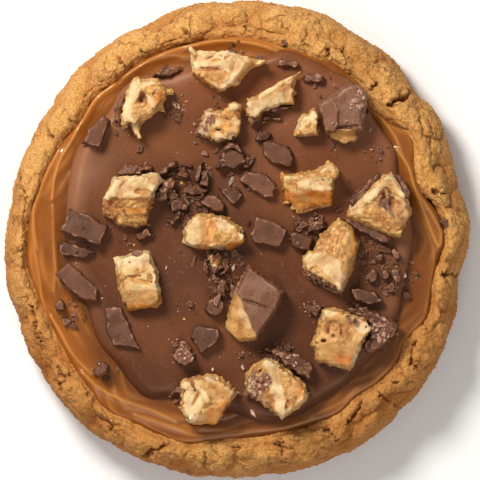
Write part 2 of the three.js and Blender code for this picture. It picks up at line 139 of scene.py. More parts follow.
# Ribbons of caramel that the knife left, by the points they pass: half width, height, points.
CARAMEL_RIBBONS = [
    (1.1, 0.9, [(-29.2, 36.9), (-33.1, 33.9), (-36.7, 28.4), (-38.4, 24.9), (-41.9, 18.8), (-43.1, 15),
                (-43.8, 9.8)]),
    (1.0, 0.7, [(-42.4, 21.4), (-45.2, 15.5), (-46.8, 11.9), (-48.2, 7.5), (-48, 2.4), (-47.3, -2)]),
    (1.2, 0.6, [(-48.4, 3), (-47.6, -4), (-46.6, -10), (-46, -15), (-44.6, -20)]),
    (1.0, 0.5, [(-43.6, 8), (-43.4, 0), (-43, -6), (-43.4, -12)]),
    (1.0, 0.6, [(-43.9, -18.2), (-41.6, -22.4), (-39.8, -25.7), (-37.2, -29), (-34.4, -31.6)]),
    (1.2, 0.7, [(-36.5, -31.5), (-31.8, -35.6), (-25.3, -38.6), (-20.6, -40.2), (-14.5, -42.9)]),
    (1.1, 0.6, [(-24, -41.5), (-17.4, -43.6), (-10, -46.3), (-5.1, -46.4), (0, -45.2)]),
    (1.0, 0.35, [(-12.9, -44), (-5.1, -45), (5.2, -45.2), (13, -44.3), (19.9, -42.1)]),
    (1.2, 0.45, [(17.5, -42), (25.2, -38.3), (28.9, -35), (32.7, -33.4), (37.1, -29), (39.4, -24.4),
                 (44.6, -18.2)]),
    (1.2, 0.45, [(44.8, -17.3), (46.2, -9.5), (46.8, -3.1), (44.8, 3.4), (43.4, 8.6)]),
    (1.3, 1.0, [(38.1, 21.4), (40.7, 17.5), (42.3, 12.4), (44.4, 7), (46.7, 0.8), (48.3, -1.4), (48.6, 2)]),
    (1.1, 0.7, [(48.6, 2), (46.4, 6), (43.8, 10.4), (42.6, 15)]),
    (1.3, 0.8, [(30.9, 33.4), (35, 28.2), (37.8, 24.1), (39.9, 18.8)]),
    (1.2, 0.6, [(36.5, 27.4), (40.8, 24.6), (42.2, 20.6), (42.4, 16.4)]),
    (1.0, 0.7, [(-12, 46.6), (-5.1, 47.3), (0, 47.2), (5.2, 46.3), (9.6, 44.8)]),
    (1.0, 0.5, [(-2, 48), (2.6, 47.9), (7.8, 46.8), (11, 45.4)]),
    (1.1, 0.7, [(-27, 38.6), (-20.6, 42.7), (-16.7, 44.4), (-12.9, 45.8), (-9, 46.4)]),
]

# Candy: how much each kind of surface swells, and how broken it is.
ROUGHNESS = {
    "cream": (0.5, 0.34), "golden": (0.4, 0.85), "peach": (0.3, 0.22), "caramel": (0.25, 0.06),
    "chocolate": (0.1, 0.06), "crumble": (0.6, 1.2), "pit": (0.4, 0.9),
}


def oval(kind, zone, x, y, long, wide, turn, **size):
    return dict(kind=kind, zone=zone, x=x, y=y, long=long, wide=wide, turn=turn, **size)


def paint(zone, x, y, long, wide, turn):
    return oval("paint", zone, x, y, long, wide, turn)


def add(zone, x, y, long, wide, turn, lift):
    """A lobe whose top is `lift` above the chunk's own top plane."""
    return oval("add", zone, x, y, long, wide, turn, lift=lift)


def dig(zone, x, y, long, wide, turn, deep):
    return oval("dig", zone, x, y, long, wide, turn, deep=deep)


def face(zone, x, y, facing, slope):
    """A slanting face past a line through the place, falling `slope` for each millimetre in its direction."""
    return dict(kind="face", zone=zone, x=x, y=y, facing=facing, slope=slope)


# What each chunk shows from above: its main zone, and then the marks in the order in which they cover it.
CANDY_MARKS = {
    "candy_chunk_01": ("golden", [
        paint("pit", -22.3, 33.4, 1.9, 1.5, 90),
        dig("pit", -22.2, 33.2, 1.3, 1.7, 0, 1.8),
        add("cream", -24.2, 35.0, 3.2, 1.1, 77, 0.7),
        add("golden", -22.9, 30.4, 2.9, 1.9, 8, 0.3),
        add("cream", -25.8, 30.8, 3.2, 1.0, 82, 0.1),
        add("cream", -24.1, 26.9, 2.5, 0.6, -68, -3.0),
        paint("cream", -21.2, 36.9, 1.6, 0.6, 25),
        paint("caramel", -20.4, 35.8, 0.9, 0.5, -10),
        paint("caramel", -18.3, 33.6, 1.8, 0.7, 78),
        dig("pit", -19.4, 34.9, 1.0, 0.4, 60, 0.6),
        paint("cream", -20.4, 32.8, 2.0, 0.6, -62),
        add("golden", -16.4, 35.2, 1.1, 0.5, -10, -2.0),
        add("golden", -18.0, 31.6, 0.9, 0.4, -50, -3.0),
    ]),
    "candy_chunk_02": ("cream", [
        face("peach", 1.2, 40.5, -35, 1.3),
        paint("golden", -7.0, 38.6, 4.4, 1.9, -14),
        face("caramel", -7.2, 37.7, -120, 2.0),
        add("cream", -1.9, 40.4, 2.4, 0.7, 80, 0.3),
        dig("pit", -6.2, 40.5, 3.0, 0.35, -4, 0.7),
        dig("golden", -2.2, 43.2, 1.0, 0.5, 35, 0.7),
        dig("cream", -5.2, 43.6, 2.2, 0.3, 25, 0.9),
        dig("golden", -4.8, 42.4, 1.0, 0.4, 5, 0.6),
        dig("cream", 1.6, 42.7, 1.6, 0.3, -30, 0.8),
        dig("cream", -0.4, 41.2, 1.8, 0.3, 70, 0.6),
        add("golden", -3.0, 39.2, 1.2, 0.9, 0, -0.2),
        add("cream", -0.3, 37.3, 1.0, 0.7, 10, -2.5),
        add("cream", 5.6, 41.9, 1.3, 0.5, 20, -1.5),
        add("cream", -9.8, 43.9, 1.2, 0.5, -50, 0.1),
    ]),
    "candy_chunk_03": ("golden", [
        add("golden", -1.0, 29.9, 1.8, 1.5, 20, 0.2),
        add("cream", -0.4, 31.4, 1.3, 0.9, 0, 0.6),
        dig("pit", -2.3, 28.8, 1.3, 0.4, -25, 1.8),
        add("cream", -4.6, 27.6, 1.7, 1.1, -20, 0.4),
        dig("pit", -4.2, 26.3, 0.8, 0.6, 0, 1.8),
        paint("caramel", -2.7, 26.8, 0.9, 0.8, 0),
        add("cream", -4.4, 24.6, 1.2, 1.0, 90, 0.2),
        add("golden", 0.0, 26.6, 1.9, 0.7, 80, 0.0),
        paint("crumble", -1.2, 24.4, 1.4, 1.0, 0),
        paint("crumble", -6.4, 28.6, 1.8, 1.4, 90),
        paint("crumble", -8.4, 26.0, 1.6, 1.4, 40),
        paint("pit", 0.6, 24.8, 1.4, 0.8, 70),
    ]),
    "candy_chunk_04": ("peach", [
        face("peach", 9.0, 35.3, -57, 0.35),
        add("cream", 8.6, 35.8, 5.6, 0.5, 31, 0.1),
        paint("cream", 4.2, 31.8, 2.4, 2.0, 60),
        # Painted light: a pale patch that lightens the face sloping away into shade.
        paint("cream", 9.4, 33.0, 4.2, 1.6, 31),
        face("crumble", 3.8, 29.6, -110, 0.8),
        dig("golden", 4.9, 33.4, 0.5, 0.3, 0, 0.5),
    ]),
    "candy_chunk_05": ("golden", [
        paint("cream", 15.4, 27.8, 2.2, 1.3, 40),
        add("cream", 18.2, 29.0, 1.5, 0.9, 90, 0.6),
        paint("peach", 19.3, 26.4, 1.6, 1.2, 80),
        face("chocolate", 17.0, 24.7, -88, 2.0),
    ]),
    "candy_chunk_06": ("chocolate", [
        face("chocolate", 25.5, 26.3, -88, 1.6),
        dig("chocolate", 26.4, 26.7, 2.9, 0.4, 4, 1.2),
        add("peach", 25.4, 24.5, 2.8, 1.5, -5, -2.6),
        paint("golden", 25.8, 25.6, 2.2, 0.5, -3),
        dig("chocolate", 29.6, 30.0, 4.0, 0.3, 88, 0.5),
    ]),
    "candy_chunk_07": ("golden", [
        face("caramel", 19.0, 11.7, -84, 0.9),
        face("caramel", 12.6, 11.0, -160, 1.0),
        paint("golden", 12.6, 13.6, 2.0, 1.6, 70),
        paint("cream", 18.9, 13.4, 3.8, 1.6, -3),
        add("golden", 22.7, 16.5, 1.8, 1.0, -65, 0.3),
        # Painted highlight: a pale streak where the caramel corner catches the light.
        paint("peach", 15.8, 10.3, 1.5, 0.7, -35),
        add("golden", 11.8, 8.9, 0.7, 0.3, 10, -4.4),
        add("golden", 13.4, 7.7, 0.7, 0.4, 40, -4.4),
        add("golden", 15.3, 6.9, 0.9, 0.45, 10, -4.4),
        add("golden", 17.6, 7.5, 1.8, 0.45, 12, -4.2),
        add("golden", 20.4, 8.0, 1.4, 0.35, 8, -4.2),
    ]),
    "candy_chunk_08": ("golden", [
        face("golden", 36.0, 4.8, -100, 0.6),
        face("golden", 32.3, 3.6, -113, 4.0),
        face("cream", 31.6, 11.9, 137, 4.0),
        face("cream", 38.6, 12.4, 31, 4.0),
        paint("peach", 38.9, 7.0, 3.4, 1.7, 105),
        paint("pit", 38.6, 7.0, 2.5, 1.0, 103),
        dig("pit", 35.8, 9.6, 3.4, 1.6, 108, 1.9),
        paint("chocolate", 35.2, 8.6, 1.9, 1.2, 115),
        add("cream", 32.4, 11.0, 4.8, 0.9, 43, 0.6),
        add("cream", 38.3, 11.9, 3.0, 0.6, -58, 0.4),
        add("chocolate", 34.8, 8.8, 1.7, 0.9, 35, -0.6),
        add("chocolate", 36.4, 7.0, 2.2, 0.5, -62, -0.4),
        add("crumble", 36.1, 11.4, 1.7, 0.6, -65, -0.4),
        paint("cream", 28.6, 6.8, 1.5, 0.6, 20),
    ]),
    "candy_chunk_09": ("cream", [
        face("pit", -25.5, 10.0, -88, 0.55),
        add("golden", -24.6, 8.5, 3.6, 0.9, -4, -1.0),
        paint("caramel", -24.5, 6.9, 3.8, 0.7, 4),
        face("pit", -25.0, 6.0, -86, 1.1),
        add("golden", -25.3, 4.7, 3.2, 1.3, -12, -4.2),
        dig("golden", -23.3, 11.5, 0.9, 0.7, 20, 0.8),
        dig("peach", -21.3, 11.1, 1.5, 0.9, -10, 0.5),
        dig("cream", -26.6, 13.2, 1.6, 0.4, 40, 0.5),
        dig("pit", -28.8, 8.4, 1.9, 1.3, 90, 1.0),
        add("cream", -30.2, 10.6, 1.3, 0.5, 70, 0.1),
    ]),
    "candy_chunk_10": ("golden", [
        paint("peach", -8.2, 2.8, 3.2, 1.4, 85),
        paint("cream", -10.8, 1.4, 4.0, 2.0, 85),
        paint("caramel", -6.0, 2.6, 2.4, 0.7, 84),
        paint("golden", -4.6, 1.4, 2.2, 0.9, 80),
        paint("cream", -3.0, 3.2, 1.8, 1.3, -30),
        face("caramel", -1.0, -0.5, -80, 1.2),
        paint("cream", 1.2, 1.7, 1.1, 0.7, 60),
        paint("crumble", -4.4, -1.9, 2.0, 0.7, 0),
        paint("crumble", -12.3, 4.2, 1.8, 0.8, 70),
    ]),
    "candy_chunk_11": ("golden", [
        face("peach", 26.2, -2.0, -12, 0.9),
        paint("caramel", 27.6, -1.0, 3.4, 0.6, 85),
        paint("cream", 21.4, -5.6, 3.2, 2.2, -35),
        paint("cream", 23.9, -8.6, 2.6, 1.6, -60),
        face("crumble", 20.4, -9.0, -120, 1.6),
        add("cream", 17.3, -4.9, 1.6, 1.4, 70, -0.6),
        dig("peach", 22.0, 0.8, 1.7, 0.3, 60, 0.6),
        dig("peach", 24.2, 0.2, 1.9, 0.3, 65, 0.5),
    ]),
    "candy_chunk_12": ("cream", [
        paint("golden", -27.4, -10.5, 3.6, 1.0, 95),
        face("peach", -23.0, -11.7, -93, 0.55),
        paint("golden", -24.6, -12.7, 2.4, 0.9, -12),
        paint("peach", -21.0, -13.3, 2.6, 1.3, 0),
        paint("golden", -23.0, -7.4, 1.6, 0.6, 5),
        face("caramel", -22.5, -15.2, -93, 1.8),
        dig("golden", -24.4, -8.7, 2.0, 0.5, 8, 0.8),
        dig("peach", -22.6, -9.9, 2.2, 0.8, -16, 0.6),
        dig("golden", -20.4, -8.9, 0.8, 1.2, 20, 0.6),
        paint("cream", -22.6, -11.0, 2.6, 0.5, -8),
        paint("cream", -19.4, -7.2, 3.0, 0.7, 95),
    ]),
    "candy_chunk_13": ("chocolate", [
        dig("chocolate", 4.6, -15.1, 4.2, 0.34, -19, 0.9),
        face("chocolate", 8.0, -17.6, -34, 3.0),
        face("crumble", 1.0, -9.4, 160, 1.5),
        face("peach", 2.3, -17.4, -156, 0.9),
        paint("cream", 1.9, -18.6, 2.6, 0.9, -64),
        paint("chocolate", -1.2, -23.2, 2.8, 0.5, -32),
    ]),
    "candy_chunk_14": ("peach", [
        face("peach", 23.8, -25.3, -105, 0.35),
        paint("caramel", 25.4, -28.4, 3.0, 1.2, -12),
        paint("golden", 26.0, -23.0, 2.8, 1.6, 40),
        paint("golden", 20.4, -19.4, 1.6, 1.1, 70),
        paint("cream", 30.2, -20.7, 2.4, 1.3, -15),
        paint("cream", 22.0, -17.2, 1.6, 0.8, 0),
        dig("pit", 23.4, -21.3, 2.2, 2.0, 0, 1.3),
        add("golden", 23.4, -21.3, 1.2, 1.1, 0, 0.1),
        add("golden", 18.7, -24.2, 1.1, 0.8, 30, -3.0),
        dig("pit", 20.7, -23.8, 0.8, 0.5, 0, 1.4),
        paint("cream", 28.0, -27.6, 2.6, 0.6, 70),
    ]),
    "candy_chunk_15": ("golden", [
        face("peach", -4.2, -39.3, -60, 0.9),
        paint("peach", -3.6, -35.8, 3.4, 2.2, -20),
        paint("caramel", -4.6, -41.4, 3.0, 1.9, 35),
        paint("caramel", -3.2, -39.2, 1.6, 0.9, 30),
        paint("cream", -10.4, -38.4, 5.4, 2.2, 78),
        dig("peach", -9.3, -37.0, 2.6, 0.5, 62, 1.2),
        dig("pit", -10.2, -34.4, 1.6, 0.4, -70, 1.2),
        add("cream", -12.0, -34.5, 1.1, 0.9, 0, 0.3),
        add("cream", -8.0, -36.4, 2.4, 0.8, -48, 0.4),
        paint("cream", -6.0, -32.9, 1.5, 0.7, -15),
        paint("crumble", -9.9, -31.8, 1.6, 1.0, 30),
    ]),
    "candy_chunk_16": ("golden", [
        paint("peach", 14.2, -35.8, 2.4, 1.6, 70),
        paint("caramel", 14.9, -36.4, 1.6, 0.7, 65),
        paint("pit", 13.4, -38.0, 1.4, 0.8, 60),
        paint("crumble", 4.6, -34.5, 3.8, 2.6, 70),
        paint("cream", 9.6, -35.6, 6.8, 1.5, -78),
        paint("cream", 8.2, -29.8, 2.4, 1.4, -60),
        add("crumble", 6.8, -32.6, 1.7, 1.3, -40, 0.5),
        dig("pit", 12.0, -39.2, 1.5, 0.5, 80, 1.0),
        dig("pit", 5.5, -31.2, 1.0, 0.5, 60, 1.2),
    ]),
}

# A small curl of nougat with no solid of its own: main zone, marks, height and outline.
NOUGAT_CURL = ("cream", [
    paint("golden", -4.2, -6.2, 1.0, 0.8, 30),
    dig("pit", -5.0, -5.0, 0.8, 0.6, 0, 1.0),
    paint("crumble", -4.7, -3.4, 1.5, 1.1, 0),
], 3.2, [(-7.4, -3.6), (-6.6, -6.2), (-5.0, -7.4), (-3.4, -6.4), (-3.2, -4.4), (-4.2, -2.8), (-6.4, -2.8)])

# Pieces of broken chocolate that are rough all over.
ROUGH_PIECES = ("chocolate_piece_07", "chocolate_piece_18")

# Pieces whose outline is a smooth curve.
ROUND_PIECES = ("chocolate_piece_06", "chocolate_piece_08", "chocolate_piece_15")

# Chocolate slabs without a solid of their own: foot and top above the poured chocolate, roughness, corners.
CHOCOLATE_BITS = [
    (6.4, 8.8, 0.05, [(18.9, 32.2), (20.3, 28.2), (21, 25.3), (23.3, 25.4), (24.1, 27.5), (24.5, 31),
                      (23.4, 32.7), (20.4, 33)]),
    (0.5, 5.8, 0.4, [(26.2, 9.2), (27.6, 7.9), (34.4, 14.8), (33.4, 16.3)]),
    (0.5, 5.4, 0.4, [(37.4, 15.3), (38.8, 15.7), (41.4, 11), (40.3, 9.4)]),
    (0.5, 3.4, 0.4, [(24.9, 5.3), (26.8, 3.0), (33.5, -0.2), (35.6, -1), (37.2, 0.2), (33, 3),
                     (29.8, 5.2)]),
    (-0.5, 3.6, 0.9, [(-19.4, 9.3), (-16.6, 9.6), (-14.4, 13.6), (-15.2, 15.2), (-17.6, 14.2)]),
    (-0.5, 3.4, 0.9, [(-28.8, 15.4), (-24, 15.4), (-19.2, 17.4), (-24, 18), (-26.8, 17.8)]),
    (-0.5, 4.2, 0.9, [(25, -15.6), (27.5, -17.8), (31.5, -20), (31.6, -22.4), (29.8, -24.8), (31, -27),
                      (34.6, -25.4), (37.4, -22.4), (38.4, -20), (35.5, -18.2), (30, -16.4)]),
    (-0.5, 2.4, 0.5, [(15.8, -7.8), (21, -10.6), (25.4, -12.6), (24.7, -13.4), (20, -11.2), (16, -9)]),
    (6.0, 8.8, 0.7, [(-26.1, -5.4), (-24.4, -6), (-22.6, -5.4), (-21.8, -3.8), (-23.2, -1.8), (-24.8, -3)]),
    (-0.5, 3.2, 0.7, [(-28.9, 28), (-27.2, 27.6), (-26.9, 31), (-25.8, 34.4), (-27.2, 34.8), (-28.6, 31)]),
    (-0.5, 1.8, 0.9, [(-19.6, 39), (-16, 38.8), (-12.8, 40.6), (-13.2, 41.4), (-17.8, 41)]),
    (-0.5, 2.6, 0.6, [(16, 37.6), (20.4, 37.4), (20.8, 38.8), (18.6, 39.9), (16.4, 39.2)]),
    (-0.5, 2.0, 0.6, [(9.6, 41.2), (14.6, 40.9), (14.9, 42.3), (10.2, 42.9)]),
    (-0.5, 2.2, 0.3, [(-24.7, 0.4), (-22.6, -0.1), (-20.4, 0.8), (-18.7, 1.4), (-20.3, 1.8), (-21.3, 3.3)]),
    (-0.5, 2.4, 0.5, [(4.5, 23.4), (7.4, 23.6), (8.6, 25), (6.6, 26.2), (4.8, 25.4)]),
    (-0.5, 2.2, 0.8, [(1, 17.2), (2.8, 16.8), (3.8, 19), (3, 20.6), (1.2, 19.8)]),
    (-0.5, 1.8, 0.1, [(-13.8, 15.8), (-12.4, 14.3), (-11.3, 15.8), (-12.6, 17.5)]),
    (-0.5, 1.8, 0.6, [(5, 31.6), (9, 30.4), (13.8, 31), (13.6, 32), (9, 31.6)]),
    (-0.5, 1.6, 0.2, [(6, 28.4), (10.6, 28.2), (10.9, 28.9), (6.6, 29.5)]),
    (-0.5, 3.0, 0.8, [(17, 2), (19.4, 1.6), (21.4, 3), (20.8, 4.8), (17.8, 4.4)]),
    (-0.5, 2.2, 0.8, [(15.2, -15), (17, -17.6), (19, -18), (20.4, -15.6), (18, -14.9)]),
    (-0.5, 2.6, 0.8, [(-5.1, -13.6), (-2.3, -13.4), (-2.3, -9.6), (-4.4, -9.4)]),
    (-0.5, 3.4, 0.8, [(6.8, -25.9), (10, -27.8), (13.2, -29.6), (13.8, -27.3), (10, -25.7)]),
    (-0.5, 2.6, 0.05, [(14.2, -27.4), (15.5, -27.5), (18.6, -30), (17, -33.6), (15.6, -30.6)]),
    (0.5, 4.6, 0.4, [(-18.7, 15.6), (-17.5, 15.4), (-16, 16.6), (-14.4, 17.6), (-14.2, 18.6),
                     (-15.8, 18.4), (-17.4, 17.4)]),
    (-0.5, 2.6, 0.1, [(-14.8, 14.9), (-11.6, 14.2), (-11.4, 15.8), (-12.4, 17.7), (-13.6, 16.6)]),
    (-0.5, 1.8, 0.3, [(-13.8, 17.5), (-11.4, 17.2), (-9.8, 16.6), (-9.9, 17.4), (-11.4, 18.1),
                      (-13.6, 18.2)]),
    (-0.5, 3.4, 0.2, [(-9.9, 14.2), (-9.2, 13.6), (-8.5, 16.3), (-8, 18.4), (-8.6, 18.4), (-9.5, 16.6)]),
    (-0.5, 2.8, 0.3, [(-8.4, 16.5), (-7.4, 16.5), (-6.6, 15), (-6.5, 12.2), (-7.6, 12.9), (-8.8, 12.8),
                      (-8.5, 15)]),
    (-0.5, 1.9, 0.1, [(-12.2, 11), (-12.2, 12), (-10.5, 12.8), (-8.4, 12.6), (-6.5, 11.9), (-7, 10.9),
                      (-10, 10.5)]),
    (-0.5, 2.1, 0.1, [(-13.5, 9.3), (-12.6, 9.2), (-11.2, 8), (-11.2, 6.7), (-12.2, 6.6), (-13.1, 8)]),
    (-0.5, 1.6, 0.1, [(-16.1, 10), (-14.7, 13), (-13.7, 10.4), (-13, 9.4), (-12.6, 6.8), (-15.4, 6.6),
                      (-16, 8.6)]),
    (-0.5, 1.7, 0.3, [(-16.6, 4.5), (-15.7, 4), (-15.4, 2.9), (-14.5, 3.9), (-13.5, 5), (-13.3, 7.3),
                      (-14.2, 6.6), (-14.9, 5)]),
    (0.2, 3.0, 0.4, [(-13.2, 2.4), (-12.5, 4.4), (-11.6, 5.8), (-10, 5.4), (-10.4, 3.6)]),
    (-0.5, 1.8, 0.2, [(-8.1, -5), (-7.2, -4.5), (-6.5, -6.4), (-6.2, -8.1), (-7.4, -8.4), (-8.1, -6.8)]),
    (-0.5, 2.0, 0.5, [(-2.7, -4.8), (-1.6, -5.8), (-1.8, -7.5), (-3.6, -8.4), (-4.8, -8.4), (-3.2, -6.8)]),
    (-0.5, 1.2, 0.1, [(-1.8, -9.8), (-0.3, -10.4), (0.2, -12), (-1, -14.6), (-1.9, -13)]),
    (-0.5, 2.4, 0.2, [(31, -7.5), (32.6, -6.9), (33.8, -8.1), (33.4, -9.9), (31.6, -10.2), (30.4, -8.8)]),
    (-0.5, 2.4, 0.2, [(34.3, -6.9), (35.6, -6.7), (36.5, -8), (36.1, -9.7), (34.7, -9.5)]),
    (-0.5, 2.2, 0.2, [(36.7, -6.9), (38, -6.6), (39.1, -8.4), (39.3, -10.1), (38, -10.5), (36.5, -8.6)]),
    (-0.5, 2.6, 0.5, [(36.3, -2.3), (37.5, -1.7), (39, -3.4), (38.3, -4.9), (37.1, -4.5), (36.5, -3.2)]),
    (-0.5, 1.8, 0.3, [(32.5, -3.6), (34.6, -2.8), (35.4, -4), (34.4, -5.4), (32.9, -5.1)]),
    (-0.5, 1.8, 0.4, [(35, -11.5), (36.5, -10.6), (38.5, -11.6), (38.1, -13), (36.4, -12.4)]),
    (-0.5, 5.3, 0.1, [(-4.9, 17), (-4.1, 20.4), (-2.8, 22.3), (-1.1, 23.2), (0.6, 22.6), (1.7, 20.8),
                      (1.2, 20.1),
                      (-0.2, 21.3), (-1.3, 21.5), (-2.4, 20.9), (-3.2, 19.6), (-3.9, 17)]),
]

# Where crumbs lie: middle, radius and how many.
CRUMB_PATCHES = [
    (-14.5, 30, 3.6, 40), (-8.5, 25.5, 3, 30), (-4, 32.5, 2.5, 14), (6, 27, 3, 14), (-27, 27, 2.5, 12),
    (-14, 12, 5, 34), (-9.5, 15, 3.5, 22), (0.5, 14, 3, 20), (-3, -5.5, 5, 60), (-12.5, -5, 3, 10),
    (34, -7, 6, 75), (31, -1.5, 4, 26), (39.5, -8, 3.5, 24), (17.5, 3.5, 3.5, 26), (18, -16.5, 3, 26),
    (-4, -12, 3.5, 34), (-11.5, -15.5, 3, 16), (-12.6, -27, 3.5, 30), (-13.5, -36, 2.5, 16),
    (3, -28, 3.5, 18), (9, -27, 4, 26), (33.5, -22, 4.5, 40), (33, 21.5, 3, 12), (29, 32.5, 3, 24),
    (20, 36.5, 4, 14), (-28, 4.5, 3, 10), (-37, -2, 4, 12), (-38.5, -16.5, 3.5, 22), (-31, -31, 3, 14),
    (13.5, 31.5, 3, 12), (12, 2, 4, 16), (-24.5, -1.5, 3.5, 12), (25.5, 20.5, 4, 8), (-2, 44.6, 4, 12),
    (49.5, 4, 2.5, 6),
]

# Where dusty crumbs cling to the candy and the rough chocolate.
DUSTY_PATCHES = [
    (28.2, 32.0, 1.5, 26), (29.6, 34.2, 1.2, 10), (34.4, -21.4, 2.8, 36), (-12.2, -26.8, 2.2, 18),
    (29, -17.2, 2, 16), (9.4, -26.8, 2, 12), (-22, 17, 2, 8), (4.6, -34, 2, 14), (-17.2, 12.2, 1.8, 10),
    (13, -28.2, 1.6, 8),
]

# Heaps of larger shards.
SHARD_PILES = [
    (-12.5, 13, 4.5, 30), (-9.5, 9, 3.5, 16), (-14.5, 8.5, 2.5, 8), (-7, 15, 3, 10), (-4, -5.5, 5, 16),
    (34, -5, 5, 14), (18, 3, 3, 6), (2.4, 18.5, 1.8, 6), (-4, -12, 2.5, 8), (29, -17.5, 3, 8),
    (10, -27, 3, 8),
]

# Crumbs that can be told apart: place and size.
LARGE_CRUMBS = [
    (42.3, -7.8, 2.0), (40.2, -13.2, 3.0), (36.8, -11.0, 2.4), (-38.6, -17.5, 1.4), (-40.4, -19.4, 2.2),
    (-38.6, -20.4, 2.0), (49.6, 4.2, 3.0), (11.0, 46.9, 1.8), (-1.0, 44.8, 2.2), (5.2, 43.4, 2.2),
    (-23.0, 21.8, 2.4), (-11.0, -15.2, 2.4), (15.9, 3.6, 2.6), (33.9, 21.4, 2.0), (-36.5, 3.2, 1.2),
    (18.6, -16.4, 2.2), (-3.5, -11.5, 2.2), (-31.0, -33.0, 2.0), (-13.8, -35.5, 1.8), (-13.2, -37.6, 1.6),
    (30.0, 0.2, 1.8), (-7.5, 20.5, 1.8), (-12.0, 9.0, 2.0),
]

# Thin slivers of chocolate, and pale flakes: place, length, width and direction in degrees.
SLIVERS = [
    (-10.2, -5.2, 4.9, 1.0, 80), (-7.4, -6.3, 3.6, 1.2, 75), (-2.5, -6.9, 3.2, 0.9, 50),
    (0.5, -3.8, 4.6, 1.0, -20), (-9.0, 16.2, 4.5, 1.0, 75), (-7.4, 15.4, 2.8, 1.2, 60),
    (-13.2, 8.0, 3.4, 1.0, -50), (2.9, 3.6, 4.2, 1.3, -75), (-14.0, 27.6, 3.4, 0.4, -40),
    (-5.0, 21.0, 2.6, 0.8, 40), (-15.5, 11.2, 3.0, 0.9, 60), (-10.6, 12.6, 3.2, 0.8, -60),
    (-12.8, 5.6, 2.6, 0.7, 70), (23.0, 22.4, 2.4, 0.5, 70), (24.4, 7.2, 2.6, 1.4, 30),
]
PALE_FLAKES = [
    (26.0, 28.2, 0.8, 0.5, 60), (22.7, 27.6, 1.1, 0.4, 30), (-14.2, 31.9, 3.9, 1.6, -45),
    (-6.4, 30.7, 2.7, 1.0, 25), (-1.2, 14.0, 3.4, 1.2, 60), (-0.7, -6.6, 2.3, 1.0, 75),
    (1.5, -30.2, 1.7, 0.8, -70), (3.9, -41.1, 3.0, 0.9, -60), (40.0, -8.5, 2.2, 0.9, 80),
    (-3.0, 18.8, 1.5, 0.5, -15), (32.0, 21.5, 0.9, 0.7, 0), (31.7, 26.1, 1.6, 0.6, 70),
    (-16.6, -6.6, 1.5, 0.5, 80), (-12.9, 34.4, 1.2, 0.3, 50), (-5.7, -30.6, 1.2, 1.0, 60),
    (0.2, -36.2, 1.4, 0.5, 0), (19.0, 5.2, 1.2, 0.5, 50), (9.4, 12.4, 0.8, 0.6, 0),
]


# ---------------------------------------------------------------- reading the frame


def frame_points(node):
    """A node's corners in millimetres, each once."""
    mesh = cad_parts[node].data
    flat = np.empty(len(mesh.vertices) * 3, np.float32)
    mesh.vertices.foreach_get("co", flat)
    return np.unique(np.round(flat.reshape(-1, 3) / MM, 3), axis=0)


def outline_radii(node, count):
    """The outermost radius at `count` even angles, filled in smoothly between the node's own spokes."""
    points = frame_points(node)
    radius = np.hypot(points[:, 0], points[:, 1])
    points, radius = points[radius > 1], radius[radius > 1]
    turn = np.arctan2(points[:, 1], points[:, 0]) / TAU % 1
    spokes = len(np.unique(np.round(turn[radius > 20], 4) % 1))
    outer = np.zeros(spokes)
    np.maximum.at(outer, np.round(turn * spokes).astype(int) % spokes, radius)
    return np.fft.irfft(np.fft.rfft(outer), count) * count / spokes


def tilted_plane(height, middle, slope_x, slope_y):
    """A plane as a function of x and y, `height` high over its middle."""

    def plane(x, y):
        return height + slope_x * (x - middle[0]) + slope_y * (y - middle[1])

    return plane


def block_shape(node):
    """A broken block's corners seen from above, the height of its foot, and its top as a function."""
    points = frame_points(node)
    middle = points[:, :2].mean(0)
    offset = points[:, :2] - middle
    turn = np.round(np.arctan2(offset[:, 1], offset[:, 0]) / TAU % 1, 3) % 1
    corners = []
    for angle in np.unique(turn):
        ring = points[turn == angle]
        out = np.hypot(*(ring[:, :2] - middle).T)
        corners.append(ring[np.argmax(out), :2])
    terms = np.c_[np.ones(len(points)), offset]
    high = points[:, 2] > np.sort(points[:, 2])[-len(corners)] - 0.01
    height, slope_x, slope_y = np.linalg.lstsq(terms[high], points[high, 2], rcond=None)[0]
    return np.array(corners), points[:, 2].min(), tilted_plane(height, middle, slope_x, slope_y)


# ---------------------------------------------------------------- noise

_random = np.random.default_rng(11)
_shuffle = np.tile(_random.permutation(256), 2)
_slopes = _random.normal(size=(256, 3)).astype(np.float32)
_slopes /= np.linalg.norm(_slopes, axis=1, keepdims=True)
_places = _random.random((256, 3)).astype(np.float32)


def _hash(cell):
    """A shuffled number from 0 to 255 for each cell."""
    x, y, z = (cell & 255).T
    return _shuffle[_shuffle[_shuffle[x] + y] + z]


def noise(points, size, seed=0):
    """Smooth noise of about -1 to 1 whose bumps are about `size` across."""
    scaled = (points / size + 13.7 * seed).astype(np.float32)
    cell = np.floor(scaled).astype(np.int32)
    within = scaled - cell
    ease = within * within * within * (within * (within * 6 - 15) + 10)
    total = np.zeros(len(scaled), np.float32)
    for corner in itertools.product((0, 1), repeat=3):
        corner = np.array(corner)
        weight = np.where(corner, ease, 1 - ease).prod(1)
        total += weight * ((within - corner) * _slopes[_hash(cell + corner)]).sum(1)
    return total * 1.6


def lumps(points, size, seed=0):
    """Distances to the nearest and second nearest of scattered points, in units of their spacing."""
    scaled = (points / size + 7.3 * seed).astype(np.float32)
    cell = np.floor(scaled).astype(np.int32)
    first = np.full(len(scaled), 9, np.float32)
    second = first.copy()
    for step in itertools.product((-1, 0, 1), repeat=3):
        other = cell + np.array(step)
        apart = np.linalg.norm(other + _places[_hash(other)] - scaled, axis=1)
        second = np.minimum(second, np.maximum(first, apart))
        first = np.minimum(first, apart)
    return first, second


def smoothstep(low, high, value):
    t = np.clip((value - low) / (high - low), 0, 1)
    return t * t * (3 - 2 * t)


def smooth_max(a, b, blend):
    """The larger of two fields, rounded off where they are closer than `blend`."""
    share = np.clip(0.5 + 0.5 * (a - b) / blend, 0, 1)
    return b + (a - b) * share + blend * share * (1 - share)


